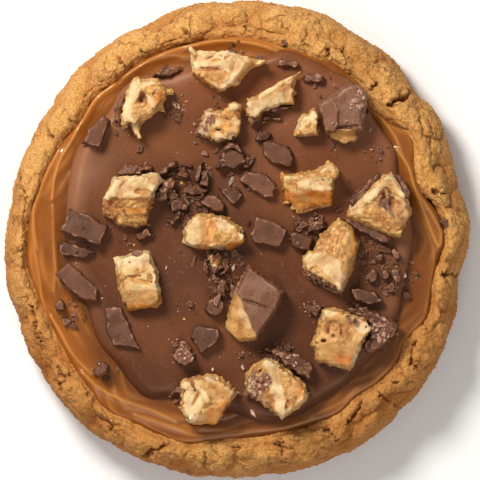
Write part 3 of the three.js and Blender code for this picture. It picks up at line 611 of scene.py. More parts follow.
def smooth_min(a, b, blend):
    return -smooth_max(-a, -b, blend)


def distance_to_line(x, y, start, end):
    ex, ey = end[0] - start[0], end[1] - start[1]
    along = np.clip(((x - start[0]) * ex + (y - start[1]) * ey) / (ex * ex + ey * ey), 0, 1)
    return np.hypot(x - start[0] - along * ex, y - start[1] - along * ey)


def smooth_line(points, steps=6):
    """A smooth curve through the points, as a finer line."""
    line = np.array(points, float)
    line = np.vstack([2 * line[0] - line[1], line, 2 * line[-1] - line[-2]])
    t = np.linspace(0, 1, steps, endpoint=False)[:, None]
    runs = []
    for a, b, c, d in zip(line, line[1:], line[2:], line[3:]):
        runs.append(b + 0.5 * t * (c - a + t * (2 * a - 5 * b + 4 * c - d + t * (3 * (b - c) + d - a))))
    return np.vstack(runs + [line[-2][None]])


def places(*axes):
    """Every place of a grid given by its axes, as rows of x, y and z."""
    return np.stack([axis.ravel() for axis in np.broadcast_arrays(*axes)], -1)


def noise_at(x, y, z, size, seed):
    """Noise at every place of a grid given by its axes, in the grid's shape."""
    return noise(places(x, y, z), size, seed).reshape(np.broadcast(x, y, z).shape)


# ---------------------------------------------------------------- meshes


def make_piece(name, points, face_sets, **attributes):
    """A mesh from points in millimetres and arrays of faces, with each attribute's value at each point."""
    face_sets = [np.asarray(faces, np.int32) for faces in face_sets]
    corners = np.concatenate([faces.ravel() for faces in face_sets])
    sizes = np.concatenate([np.full(len(faces), faces.shape[1]) for faces in face_sets])
    mesh = bpy.data.meshes.new(name)
    mesh.vertices.add(len(points))
    mesh.vertices.foreach_set("co", (np.asarray(points, np.float32) * MM).ravel())
    mesh.loops.add(len(corners))
    mesh.loops.foreach_set("vertex_index", corners)
    mesh.polygons.add(len(sizes))
    mesh.polygons.foreach_set("loop_start", np.r_[0, np.cumsum(sizes)[:-1]].astype(np.int32))
    mesh.update(calc_edges=True)
    mesh.validate()
    mesh.shade_smooth()
    for key, values in attributes.items():
        attribute = mesh.attributes.new(key, "FLOAT", "POINT")
        attribute.data.foreach_set("value", np.asarray(values, np.float32))
    piece = bpy.data.objects.new(name, mesh)
    bpy.context.scene.collection.objects.link(piece)
    return piece


def finish_piece(piece, material, slot, *nodes):
    """Give a piece its material and body, and hide the nodes that it stands for. `slot` is not used."""
    piece.data.materials.append(material)
    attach(piece, BODY)
    if nodes:
        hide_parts(*nodes)
    return piece


def ring_faces(rings, spokes, start=0):
    """Quads between neighbouring rings of a closed band whose points run spoke by spoke in each ring."""
    low = start + np.arange(rings - 1)[:, None] * spokes
    here = np.arange(spokes)[None]
    after = (here + 1) % spokes
    high = low + spokes
    return np.stack([low + here, low + after, high + after, high + here], -1).reshape(-1, 4)


def grid_normals(grid):
    """Unit normals of a closed band given as (ring, spoke, xyz), pointing out."""
    around = np.roll(grid, -1, 1) - np.roll(grid, 1, 1)
    up = np.gradient(grid, axis=0)
    normal = np.cross(around, up)
    return normal / np.linalg.norm(normal, axis=-1, keepdims=True)


def surface_of(field, origin, step):
    """The surface where a field on a regular grid turns from negative to positive, as points and quads."""
    inside = field < 0
    shape = np.array(field.shape) - 1
    total = np.zeros((*shape, 3), np.float32)
    hits = np.zeros(shape, np.float32)
    corners = list(itertools.product((0, 1), repeat=3))

    def at(array, corner):
        return array[tuple(slice(c, c + n) for c, n in zip(corner, shape))]

    for a, b in itertools.combinations(corners, 2):
        if sum(abs(i - j) for i, j in zip(a, b)) != 1:
            continue
        fa, fb = at(field, a), at(field, b)
        crossing = at(inside, a) != at(inside, b)
        share = np.where(crossing, fa / np.where(crossing, fa - fb, 1), 0)[..., None]
        place = np.array(a) + share * (np.array(b) - np.array(a))
        total += np.where(crossing[..., None], place, 0)
        hits += crossing
    active = hits > 0
    index = np.full(shape, -1)
    index[active] = np.arange(active.sum())
    points = np.argwhere(active) + total[active] / hits[active][:, None]
    quads = []
    for axis in range(3):
        u, v = (axis + 1) % 3, (axis + 2) % 3
        low = [slice(1, -1)] * 3
        high = [slice(1, -1)] * 3
        low[axis], high[axis] = slice(0, -1), slice(1, None)
        starts, ends = inside[tuple(low)], inside[tuple(high)]
        for flip, changes in ((False, starts & ~ends), (True, ends & ~starts)):
            cell = np.argwhere(changes)
            cell[:, [u, v]] += 1
            step_u, step_v = np.zeros(3, int), np.zeros(3, int)
            step_u[u] = step_v[v] = 1
            around = [cell, cell - step_u, cell - step_u - step_v, cell - step_v]
            quad = np.stack([index[tuple(c.T)] for c in around], -1)
            quads.append(quad[:, ::-1] if flip else quad)
    return origin + points * step, np.vstack(quads)


# ---------------------------------------------------------------- materials


class Look:
    """A material under construction, with short calls for the nodes that these looks use."""

    def __init__(self, name):
        self.material = bpy.data.materials.new(name)
        self.material.use_nodes = True
        self.tree = self.material.node_tree
        self.shader = self.tree.nodes["Principled BSDF"]
        self.place = self.node("TexCoord").outputs["Object"]
        self.colour = None

    def node(self, kind):
        return self.tree.nodes.new("ShaderNode" + kind)

    def feed(self, socket, value):
        """Set a socket to a number or a colour, or link another node's output to it."""
        if isinstance(value, (int, float)):
            socket.default_value = value
        elif isinstance(value, tuple):
            socket.default_value = (*value, 1)
        else:
            self.tree.links.new(value, socket)

    def set(self, **values):
        for name, value in values.items():
            self.shader.inputs[name.replace("_", " ")].default_value = value

    def link(self, output, name):
        self.tree.links.new(output, self.shader.inputs[name])

    def attribute(self, name):
        node = self.node("Attribute")
        node.attribute_name = name
        return node.outputs["Fac"]

    def noise(self, size, detail=3.0, roughness=0.55):
        """Noise whose bumps are about `size` millimetres across."""
        node = self.node("TexNoise")
        node.inputs["Scale"].default_value = 1 / (size * MM)
        node.inputs["Detail"].default_value = detail
        node.inputs["Roughness"].default_value = roughness
        self.feed(node.inputs["Vector"], self.place)
        return node.outputs["Fac"]

    def fit(self, value, low, high, new_low=0.0, new_high=1.0):
        """The value's run from low to high, spread over the new run."""
        node = self.node("MapRange")
        self.feed(node.inputs["Value"], value)
        limits = {"From Min": low, "From Max": high, "To Min": new_low, "To Max": new_high}
        for name, number in limits.items():
            node.inputs[name].default_value = number
        return node.outputs["Result"]

    def patches(self, size, detail, low, high, new_low=0.0, new_high=1.0, roughness=0.55):
        """Noise as patches: its run from low to high, spread over the new run."""
        return self.fit(self.noise(size, detail, roughness), low, high, new_low, new_high)

    def cracks(self, size, jag, width):
        """1 along the borders of cells `size` across, which wander by `jag` millimetres; `width` is a share
        of a cell."""
        warp = self.node("TexNoise")
        warp.inputs["Scale"].default_value = 1 / (1.6 * MM)
        warp.inputs["Detail"].default_value = 2.0
        self.feed(warp.inputs["Vector"], self.place)
        moved = self.node("VectorMath")
        moved.operation = "MULTIPLY_ADD"
        self.feed(moved.inputs[0], warp.outputs["Color"])
        moved.inputs[1].default_value = (2 * jag * MM,) * 3
        self.feed(moved.inputs[2], self.place)
        cells = self.node("TexVoronoi")
        cells.feature = "DISTANCE_TO_EDGE"
        cells.inputs["Scale"].default_value = 1 / (size * MM)
        self.feed(cells.inputs["Vector"], moved.outputs[0])
        return self.fit(cells.outputs["Distance"], width, 0.3 * width)

    def math(self, operation, a, b=0.0, clamp=False):
        node = self.node("Math")
        node.operation = operation
        node.use_clamp = clamp
        self.feed(node.inputs[0], a)
        self.feed(node.inputs[1], b)
        return node.outputs[0]

    def times(self, a, b):
        return self.math("MULTIPLY", a, b)

    def mix(self, share, a, b, blend="MIX"):
        node = self.node("Mix")
        node.data_type = "RGBA"
        node.blend_type = blend
        self.feed(node.inputs["Factor"], share)
        self.feed(node.inputs[6], a)
        self.feed(node.inputs[7], b)
        return node.outputs[2]

    def cover(self, where, colour, amount=1.0):
        """Lay a colour over the ones before, by the share at each place times the amount."""
        share = where if amount == 1.0 else self.times(where, amount)
        self.colour = self.mix(share, self.colour, colour)

    def bump(self, height, depth, strength=1.0):
        """Relief of `depth` millimetres for a height from 0 to 1."""
        node = self.node("Bump")
        node.inputs["Strength"].default_value = strength
        node.inputs["Distance"].default_value = depth * MM
        self.feed(node.inputs["Height"], height)
        self.link(node.outputs["Normal"], "Normal")

    def finish(self):
        self.link(self.colour, "Base Color")
        return self.material


def srgb(red, green, blue):
    """A colour as it looks on screen, 0 to 255, as the linear numbers that a shader takes."""
    return tuple(((c / 255 + 0.055) / 1.055) ** 2.4 if c > 10 else c / 3295 for c in (red, green, blue))


def cookie_material():
    look = Look("baked_peanut_butter_dough")
    look.colour = look.mix(look.patches(7, 2, 0.35, 0.65), srgb(190, 127, 54), srgb(208, 147, 72))
    dark_grain = look.mix(0.2, look.colour, srgb(150, 88, 34))
    light_grain = look.mix(0.42, look.colour, srgb(240, 200, 134))
    look.colour = look.mix(look.patches(0.5, 2, 0.39, 0.61, roughness=0.6), dark_grain, light_grain)
    look.cover(look.patches(0.9, 2, 0.6, 0.68), srgb(150, 88, 36), 0.12)
    # Browning of the foot and side, mixed with painted shade in the valleys and on the lower left and lower
    # right.
    look.cover(look.attribute("browning"), srgb(164, 92, 30))
    # Painted shade in the cracks, seams and pits.
    look.cover(look.attribute("cavity"), srgb(126, 66, 26))
    # Painted shade in fine cracks that the bump also presses in.
    fine_cracks = look.times(look.cracks(6.5, 1.1, 0.045), look.patches(7, 1, 0.52, 0.6))
    look.cover(fine_cracks, srgb(130, 70, 30), 0.55)
    look.set(Roughness=0.82, Specular_IOR_Level=0.25)
    relief = look.math("ADD", look.noise(0.5, 3, 0.6), look.times(look.noise(1.2, 2), 0.4))
    look.bump(look.math("SUBTRACT", relief, look.times(fine_cracks, 0.5)), 0.5, 0.9)
    return look.finish()


def caramel_material():
    look = Look("soft_caramel")
    ridge = look.attribute("ridge")
    look.colour = look.mix(look.patches(9, 2, 0.35, 0.65), srgb(144, 78, 20), srgb(162, 92, 28))
    look.cover(look.patches(2.2, 3, 0.3, 0.7), srgb(180, 112, 46), 0.25)
    # Painted shade, darker towards the lower right and next to the chocolate.
    look.cover(look.attribute("thin"), srgb(92, 46, 14))
    # Painted shade in the low grooves between ribbons and folds.
    look.cover(look.attribute("groove"), srgb(112, 60, 18), 0.4)
    # Painted highlight along the crests of ribbons and folds, which are also glossier.
    look.cover(ridge, srgb(212, 150, 80), 0.6)
    look.set(Specular_IOR_Level=0.12, Coat_Weight=0.5, Coat_Roughness=0.1)
    look.set(Subsurface_Weight=0.35, Subsurface_Scale=0.0012, Subsurface_Radius=(1.0, 0.45, 0.15))
    satin = look.patches(1.8, 2, 0.3, 0.7, 0.3, 0.42)
    look.link(look.math("SUBTRACT", satin, look.times(ridge, 0.16)), "Roughness")
    look.bump(look.noise(2.6, 2), 0.12, 0.5)
    return look.finish()


def chocolate_material():
    look = Look("poured_milk_chocolate")
    # Painted light and shade, and a painted highlight on the shoulders.
    light = look.math("ADD", look.attribute("light"), look.patches(13, 2, 0.35, 0.65, -0.2, 0.2), True)
    look.colour = look.mix(light, srgb(84, 46, 26), srgb(122, 72, 43))
    look.cover(look.attribute("sheen"), srgb(158, 106, 74))
    look.cover(look.patches(0.5, 3, 0.55, 0.75), srgb(150, 104, 80), 0.25)
    look.set(Specular_IOR_Level=0.32, Specular_Tint=(1.0, 0.8, 0.66, 1))
    look.set(Subsurface_Weight=0.05, Subsurface_Scale=0.0008)
    look.link(look.patches(6, 3, 0.3, 0.7, 0.3, 0.38), "Roughness")
    look.bump(look.noise(1.1, 2), 0.05, 0.4)
    return look.finish()


def candy_material():
    """Nougat, peanut mass, caramel and chocolate, each where the points say so."""
    look = Look("chopped_candy_bar")
    fine = look.patches(0.7, 4, 0.3, 0.7, roughness=0.6)
    broad = look.patches(3, 2, 0.35, 0.65)
    chocolate = look.attribute("chocolate")
    crumbs = look.mix(fine, srgb(108, 68, 46), srgb(158, 110, 80))
    zones = [
        (look.attribute("golden"), look.mix(fine, srgb(178, 124, 60), srgb(228, 184, 114))),
        (look.attribute("peach"), look.mix(broad, srgb(196, 140, 76), srgb(220, 172, 106))),
        (look.attribute("caramel"), look.mix(broad, srgb(196, 114, 38), srgb(234, 164, 80))),
        (chocolate, look.mix(fine, srgb(110, 71, 50), srgb(144, 100, 74))),
        (look.attribute("crumble"), look.mix(look.patches(0.6, 2, 0.56, 0.66), crumbs, srgb(226, 186, 138))),
        (look.attribute("pit"), look.mix(fine, srgb(150, 92, 44), srgb(210, 158, 96))),
    ]
    look.colour = look.mix(broad, srgb(214, 176, 120), srgb(238, 210, 162))
    look.cover(fine, srgb(192, 144, 84), 0.3)
    for where, colour in zones:
        look.cover(where, colour)
    # Painted shade in the dents, then a painted highlight along the upper rim.
    look.cover(look.attribute("dent"), look.mix(1.0, look.colour, srgb(200, 142, 88), "MULTIPLY"), 0.75)
    look.cover(look.attribute("rim"), look.mix(chocolate, srgb(238, 212, 168), srgb(176, 134, 108)), 0.6)
    stains = look.times(look.patches(0.8, 3, 0.62, 0.68), look.patches(5, 1, 0.42, 0.6))
    look.cover(stains, srgb(140, 88, 48), 0.65)
    look.set(Specular_IOR_Level=0.4)
    look.set(Subsurface_Weight=0.3, Subsurface_Scale=0.0012, Subsurface_Radius=(1.0, 0.55, 0.25))
    look.link(look.fit(look.attribute("caramel"), 0, 1, 0.52, 0.22), "Roughness")
    look.bump(look.noise(0.5, 4, 0.66), 0.26, 0.85)
    return look.finish()


def shard_material():
    look = Look("broken_milk_chocolate")
    broad = look.patches(4, 3, 0.35, 0.65, 0, 0.5)
    tone = look.math("ADD", broad, look.times(look.attribute("tone"), 0.5))
    look.colour = look.mix(tone, srgb(68, 39, 26), srgb(118, 74, 50))
    look.cover(look.patches(0.45, 4, 0.52, 0.72), srgb(150, 104, 78), 0.3)
    # Pale scuffing and a painted highlight along the edges, with pale flecks on rough pieces.
    look.cover(look.attribute("edge"), srgb(170, 124, 98))
    look.set(Specular_IOR_Level=0.3)
    look.link(look.patches(2, 3, 0.3, 0.7, 0.42, 0.62), "Roughness")
    look.bump(look.noise(0.5, 4), 0.12, 0.6)
    return look.finish()


def crumb_material(name, dark, light):
    look = Look(name)
    look.colour = look.mix(look.patches(0.9, 3, 0.3, 0.7), dark, light)
    look.set(Roughness=0.6, Specular_IOR_Level=0.3)
    look.bump(look.noise(0.4, 3), 0.1, 0.5)
    return look.finish()


# ---------------------------------------------------------------- cookie


def cookie_section():
    """The section's points at even steps along it, as share, inset and height."""
    line = smooth_line(COOKIE_SECTION, 12)
    steps = np.diff(np.c_[line[:, 0] * RIM_WIDTH + line[:, 1], line[:, 2]], axis=0)
    along = np.r_[0, np.cumsum(np.hypot(*steps.T))]
    even = np.linspace(0, along[-1], COOKIE_RINGS)
    return np.stack([np.interp(even, along, column) for column in line.T], -1)


def crack_depth(points):
    """How deep the cracks cut at each point. They run out on the way down the side."""
    x, y = points[:, 0], points[:, 1]
    ragged = noise(points, 1.8, 7)
    x = x + 0.7 * noise(points, 0.9, 3) + 0.7 * noise(points, 2.4, 4)
    y = y + 0.7 * noise(points, 0.9, 5) + 0.7 * noise(points, 2.4, 6)
    depth = np.zeros(len(points))
    for start, end, half_width, deep in CRACKS:
        away = distance_to_line(x, y, start, end)
        width = 0.85 * half_width * (1 + 0.7 * ragged)
        depth = np.maximum(depth, 0.62 * deep * smoothstep(1, 0.25, away / width))
    return depth * smoothstep(8, 15, points[:, 2] + 3 * noise(points, 4, 8))


def cookie_relief(points, side, inside):
    """How far the skin stands out from the plain section, its hollows, and the painted shade of its soft
    valleys.

    `side` is 1 down the side, and `inside` 1 next to the caramel.
    """
    warp = np.stack([noise(points, 5, 21 + i) for i in range(3)], -1)
    near, second = lumps(points + 1.8 * warp, 9.5, 1)
    puff = 3.6 * (0.3 - near**2) * (1 - 0.3 * side)
    seam = np.exp(-(((second - near) / 0.04) ** 2)) * smoothstep(-0.15, 0.35, noise(points, 7, 31))
    near_small, _ = lumps(points + 0.8 * warp, 3.4, 2)
    crumbly = 1 + 0.8 * smoothstep(0, 34, 0.6 * points[:, 0] - 0.8 * points[:, 1])
    pebbles = 0.7 * crumbly * (0.3 - near_small**2) * smoothstep(-0.7, 0.4, noise(points, 11, 41))
    grain, _ = lumps(points + 0.3 * warp, 1.15, 3)
    cloudy = 0.2 * noise(points, 3.1, 51) + 0.15 * noise(points, 1.6, 52) + 0.26 * noise(points, 0.8, 53)
    sandy = 0.5 * (0.5 - grain)
    pits = smoothstep(0.45, 0.7, noise(points, 1.2, 61)) * smoothstep(0.0, 0.5, noise(points, 9, 62))
    hollow = crack_depth(points) + (seam * 0.75 + pits * 0.5) * (1 - 0.6 * side)
    hollow = hollow * (1 - 0.85 * inside)
    # Painted shade: the soft valleys between the lobes are coloured darker.
    valley_shade = smoothstep(0.3, -1.1, puff + pebbles + 0.5 * cloudy)
    raised = (puff + pebbles + cloudy) * (1 - 0.35 * side) * (1 - 0.5 * inside)
    return raised + sandy - hollow, hollow, valley_shade


def cookie_skin():
    """The side and top, from the foot to under the caramel, with at each point its browning mixed with
    painted shade, and the painted shade of its cracks and pits.
    """
    outer = outline_radii("cookie_base", COOKIE_SPOKES)
    inner = outline_radii("caramel_layer", COOKIE_SPOKES) + CARAMEL_GAP
    angle = np.arange(COOKIE_SPOKES) / COOKIE_SPOKES * TAU
    section = cookie_section()
    share, inset, height = (section[:, i, None] for i in range(3))
    radius = outer + (inner - outer) * share - inset
    grid = np.stack(np.broadcast_arrays(radius * np.cos(angle), radius * np.sin(angle), height), -1)
    normals = grid_normals(grid).reshape(-1, 3)
    points = grid.reshape(-1, 3)
    inward = np.broadcast_to(share, radius.shape).ravel()
    side = 1 - smoothstep(0.02, 0.3, inward)
    relief, hollow, valley_shade = cookie_relief(points, side, smoothstep(0.86, 1.0, inward))
    calm = smoothstep(0, 2.5, points[:, 2])
    points = points + normals * ((relief - SKIN_OFFSET) * calm)[:, None]
    points[:, 2] = np.maximum(points[:, 2], 0)
    # Painted shade: the valleys and the lower left and lower right of the rim are coloured darker, on top of
    # the real browning of the foot and side.
    lower_corner_shade = smoothstep(34, 50, 0.7 * np.abs(points[:, 0]) - 0.7 * points[:, 1])
    browning = 0.55 * (1 - smoothstep(0, 7, points[:, 2])) + 0.2 * side + 0.32 * valley_shade + 0.42 * lower_corner_shade
    # The last value is painted shade in the cracks, seams and pits.
    return points, np.clip(browning, 0, 1), smoothstep(0.35, 1.4, hollow)


def cookie_foot(ring, start):
    """The underside: the skin's lowest ring, drawn together on fewer spokes to the middle.

    Its points are numbered from `start`, after those of the skin.
    """
    step = COOKIE_SPOKES // FOOT_SPOKES
    shares = np.linspace(0.985, 0.03, FOOT_RINGS)
    foot = np.concatenate([ring[::step] * [share, share, 1] for share in shares])
    pits = 0.35 * smoothstep(0.1, 0.7, noise(foot, 2.2, 71))
    foot[:, 2] = pits * smoothstep(0, 3, FOOT_RADIUS - np.hypot(*foot[:, :2].T))
    centre = start + len(foot)
    last = centre - FOOT_SPOKES
    fine = np.arange(COOKIE_SPOKES)
    here = np.arange(FOOT_SPOKES)
    after = (here + 1) % FOOT_SPOKES
    under = ring_faces(FOOT_RINGS, FOOT_SPOKES, start)[:, ::-1]
    strip = np.stack([fine, start + fine // step, (fine + 1) % COOKIE_SPOKES], -1)
    knee = np.stack([after * step, start + here, start + after], -1)
    fan = np.stack([np.full(FOOT_SPOKES, centre), last + after, last + here], -1)
    return np.vstack([foot, [[0, 0, 0]]]), [under, strip, knee, fan]


def cookie():
    skin, browning, cavity = cookie_skin()
    foot, foot_faces = cookie_foot(skin[:COOKIE_SPOKES], len(skin))
    piece = make_piece(
        "cookie",
        np.vstack([skin, foot]),
        [ring_faces(COOKIE_RINGS, COOKIE_SPOKES), *foot_faces],
        browning=np.r_[browning, np.full(len(foot), 0.75)],
        cavity=np.r_[cavity, np.zeros(len(foot))],
    )
    return finish_piece(piece, cookie_material(), "cookie", "cookie_base")


# ---------------------------------------------------------------- caramel and chocolate


def ribbon_height(x, y):
    """The ribbons' height above the plain caramel, and how near their crests are."""
    total, crest = np.zeros_like(x), np.zeros_like(x)
    for half_width, height, stroke in CARAMEL_RIBBONS:
        line = smooth_line(stroke)
        away = np.full_like(x, 99)
        for start, end in zip(line, line[1:]):
            away = np.minimum(away, distance_to_line(x, y, start, end))
        total = np.maximum(total, height * np.exp(-((away / half_width) ** 1.3)))
        crest = np.maximum(crest, height * np.exp(-((away / 0.32) ** 2)))
    return total, crest


def caramel_folds(angle, depth_in):
    """Folds of 0 to 1 that run along the outer edge and drift across the ribbon."""
    round_it = np.stack([48 * np.cos(angle), 48 * np.sin(angle), 0 * angle], -1)
    drift = 1.5 * noise(round_it, 24, 84) + 0.5 * noise(round_it, 9, 85)
    strength = smoothstep(-0.4, 0.3, noise(round_it, 14, 86))
    return (0.5 + 0.5 * np.cos(TAU * (depth_in / 2.8 + drift))) ** 2 * strength


def caramel():
    outer = outline_radii("caramel_layer", CARAMEL_SPOKES) + 0.25
    inner = outline_radii("chocolate_layer", CARAMEL_SPOKES)
    angle = np.arange(CARAMEL_SPOKES) / CARAMEL_SPOKES * TAU
    depth_in = np.r_[0, 0.08, 0.22, 0.42, 0.7, np.linspace(1.05, 12, 34)][::-1, None]
    radius = np.maximum(outer - depth_in, np.minimum(inner - 2.5, outer - 0.01 * (13 - depth_in)))
    x, y = radius * np.cos(angle), radius * np.sin(angle)
    edge = np.clip(depth_in / 1.1, 0, 1)
    rounding = 1 - np.sqrt(np.clip(1 - (1 - edge) ** 2, 0, 1))
    calm = 1 - 0.7 * smoothstep(0.1, 0.8, (0.55 * x - 0.83 * y) / 46)
    swell = 0.25 * noise_at(x, y, 0.0, 9, 81) + 0.12 * noise_at(x, y, 0.0, 3.5, 82)
    folds = caramel_folds(angle, depth_in)
    ribbons, crest = ribbon_height(x, y)
    lip = 0.25 * np.exp(-(((depth_in - 1.2) / 0.9) ** 2))
    z = CARAMEL_TOP + (swell + ribbons + 0.25 * crest + 0.3 * folds + lip) * calm - CARAMEL_DROP * rounding

    upper_left = (x * -0.65 + y * 0.72) / 45
    lower_left = (-x * 0.75 - y * 0.66) / 45
    # Painted shade: darker towards the lower right, next to the chocolate's edge, and in a strip along it on
    # the lower left.
    thin = 0.35 * smoothstep(2.0, 0, radius - inner)
    thin = np.clip(thin + 0.7 * smoothstep(0.2, -1.0, upper_left), 0, 0.75)
    shade_band = smoothstep(5.5, 1.0, radius - inner) * smoothstep(0.1, 0.8, lower_left)
    looks = {
        "thin": np.clip(thin + 0.5 * shade_band, 0, 0.75),
        # Painted highlight along the crests.
        "ridge": np.clip(0.9 * crest + 0.25 * ribbons + 0.3 * folds, 0, 1),
        # Painted shade in the grooves.
        "groove": np.clip(1 - 1.8 * ribbons - folds, 0, 1),
    }
    hidden = np.zeros(CARAMEL_SPOKES)
    looks = {name: np.r_[hidden, values.ravel(), hidden] for name, values in looks.items()}

    under = places(x[0], y[0], CARAMEL_FOOT)
    skirt = places(x[-1] * 0.985, y[-1] * 0.985, CARAMEL_FOOT)
    rings = len(depth_in) + 2
    last = (rings - 1) * CARAMEL_SPOKES
    here = np.arange(CARAMEL_SPOKES)
    after = (here + 1) % CARAMEL_SPOKES
    faces = ring_faces(rings, CARAMEL_SPOKES)[:, ::-1]
    closing = np.stack([last + after, last + here, here, after], -1)
    points = np.vstack([under, places(x, y, z), skirt])
    piece = make_piece("caramel", points, [faces, closing], **looks)
    return finish_piece(piece, caramel_material(), "caramel", "caramel_layer")


def crown(x, y):
    """The chocolate's upper face away from its edge."""
    swells = 0.35 * np.sin(0.13 * x + 0.9) * np.cos(0.11 * y - 0.4) + 0.22 * np.sin(0.16 * x - 0.12 * y + 1.7)
    return CHOCOLATE_TOP + swells


def chocolate():
    outer = outline_radii("chocolate_layer", CHOCOLATE_SPOKES)
    angle = np.arange(CHOCOLATE_SPOKES) / CHOCOLATE_SPOKES * TAU
    rim = np.r_[0, 0.05, 0.15, 0.3, 0.5, np.linspace(0.8, CHOCOLATE_RIM, 20)]
    inset = np.r_[rim, np.linspace(CHOCOLATE_RIM + 0.6, CHOCOLATE_REACH - 2, 36)][:, None]
    shrink = (CHOCOLATE_REACH - inset) / (CHOCOLATE_REACH - CHOCOLATE_RIM)
    radius = np.where(inset < CHOCOLATE_RIM, outer - inset, (outer - CHOCOLATE_RIM) * shrink)
    x, y = radius * np.cos(angle), radius * np.sin(angle)
    width = CHOCOLATE_SHOULDER + 1.2 * noise_at(x, y, 0.0, 26, 91)
    t = np.clip(1 - np.maximum(outer - radius, 0) / width, 0, 1)
    drop = CHOCOLATE_DROP * (1 - np.sqrt(np.clip(1 - t**2.4, 0, 1)))
    soft = 0.42 * noise_at(x, y, 0.0, 17, 92) + 0.12 * noise_at(x, y, 0.0, 7, 93)
    z = crown(x, y) + soft - drop
    foot = places(x[0] * 0.98, y[0] * 0.98, CHOCOLATE_FOOT)
    middles = [[0, 0, CHOCOLATE_FOOT], [0, 0, z[-1].mean()]]
    points = np.vstack([foot, places(x, y, z), middles])
    rings = len(inset) + 1
    here = np.arange(CHOCOLATE_SPOKES)
    after = (here + 1) % CHOCOLATE_SPOKES
    last = (rings - 1) * CHOCOLATE_SPOKES
    bottom = np.stack([np.full_like(here, len(points) - 2), after, here], -1)
    top = np.stack([np.full_like(here, len(points) - 1), last + here, last + after], -1)

    # Painted light and shade: the light is paler towards the top and darker around the heaps of shards, where
    # their shade falls; the sheen is a painted highlight on the left and right shoulders.
    upper_right = (points[:, 1] + 0.4 * points[:, 0]) / 42
    light = smoothstep(-1, 1, upper_right + 0.8 * noise(points * [1, 1, 0], 21, 94))
    for heap_x, heap_y, heap_radius, _ in SHARD_PILES:
        away = np.hypot(points[:, 0] - heap_x, points[:, 1] - heap_y)
        light -= 0.4 * np.exp(-((away / (1.5 * heap_radius)) ** 2))
    lit_side = smoothstep(0.3, 0.95, (0.4 * y - 0.92 * x) / 42) + 0.7 * smoothstep(0.5, 0.95, x / 42)
    sheen = 0.6 * lit_side * smoothstep(6.5, 1.5, outer - radius)
    sheen = np.r_[np.zeros(CHOCOLATE_SPOKES), sheen.ravel(), 0, 0]
    faces = [ring_faces(rings, CHOCOLATE_SPOKES), bottom, top]
    piece = make_piece("chocolate", points, faces, light=light, sheen=sheen)
    return finish_piece(piece, chocolate_material(), "chocolate", "chocolate_layer")


# ---------------------------------------------------------------- candy chunks


def outline_distance(x, y, corners):
    """Distance to a closed outline, negative inside."""
    nearest = np.full(np.broadcast(x, y).shape, 99.0)
    inside = np.zeros(nearest.shape, bool)
    for (ax, ay), (bx, by) in zip(corners, np.roll(corners, -1, 0)):
        nearest = np.minimum(nearest, distance_to_line(x, y, (ax, ay), (bx, by)))
        crosses = (ay > y) != (by > y)
        inside ^= crosses & (x < (bx - ax) * (y - ay) / (by - ay if by != ay else 1e-9) + ax)
    return np.where(inside, -nearest, nearest)


def block_grid(corners, low, high, step):
    """The grid's origin, and its x, y and z as arrays that spread over one another."""
    margin = 1.4
    origin = np.array([*(corners.min(0) - margin), low - 0.8])
    size = np.array([*(corners.max(0) + margin), high + 1.8]) - origin
    counts = np.ceil(size / step).astype(int)
    x, y, z = (origin[i] + np.arange(counts[i]) * step for i in range(3))
    return origin, x[:, None, None], y[None, :, None], z[None, None, :]


def reach(mark, x, y):
    """How far each place is out from an oval mark's middle, 1 at its edge."""
    turn = math.radians(mark["turn"])
    dx, dy = x - mark["x"], y - mark["y"]
    along = dx * math.cos(turn) + dy * math.sin(turn)
    across = dy * math.cos(turn) - dx * math.sin(turn)
    return np.hypot(along / mark["long"], across / mark["wide"])


def past(mark, x, y):
    """Distance past the line where a slanting face starts."""
    facing = math.radians(mark["facing"])
    return (x - mark["x"]) * math.cos(facing) + (y - mark["y"]) * math.sin(facing)


def zone_weights(base, marks, x, y, wobble):
    """Share of each zone at each place, with uneven borders."""
    weights = {zone: np.zeros(np.shape(wobble)) for zone in ROUGHNESS}
    weights[base] += 1
    for mark in marks:
        if mark["kind"] == "face":
            cover = smoothstep(-0.15, 0.15, past(mark, x, y) + 0.5 * wobble)
        else:
            cover = smoothstep(1.12, 0.92, reach(mark, x, y) + 0.35 * wobble)
        for zone in weights:
            weights[zone] = weights[zone] * (1 - cover)
        weights[mark["zone"]] += cover
    return weights


def creases(points, seed):
    """How far a broken face is creased in at each point."""
    return 0.3 - np.abs(noise(points, 1.9, seed + 4)) - 0.5 * np.abs(noise(points, 0.9, seed + 5))


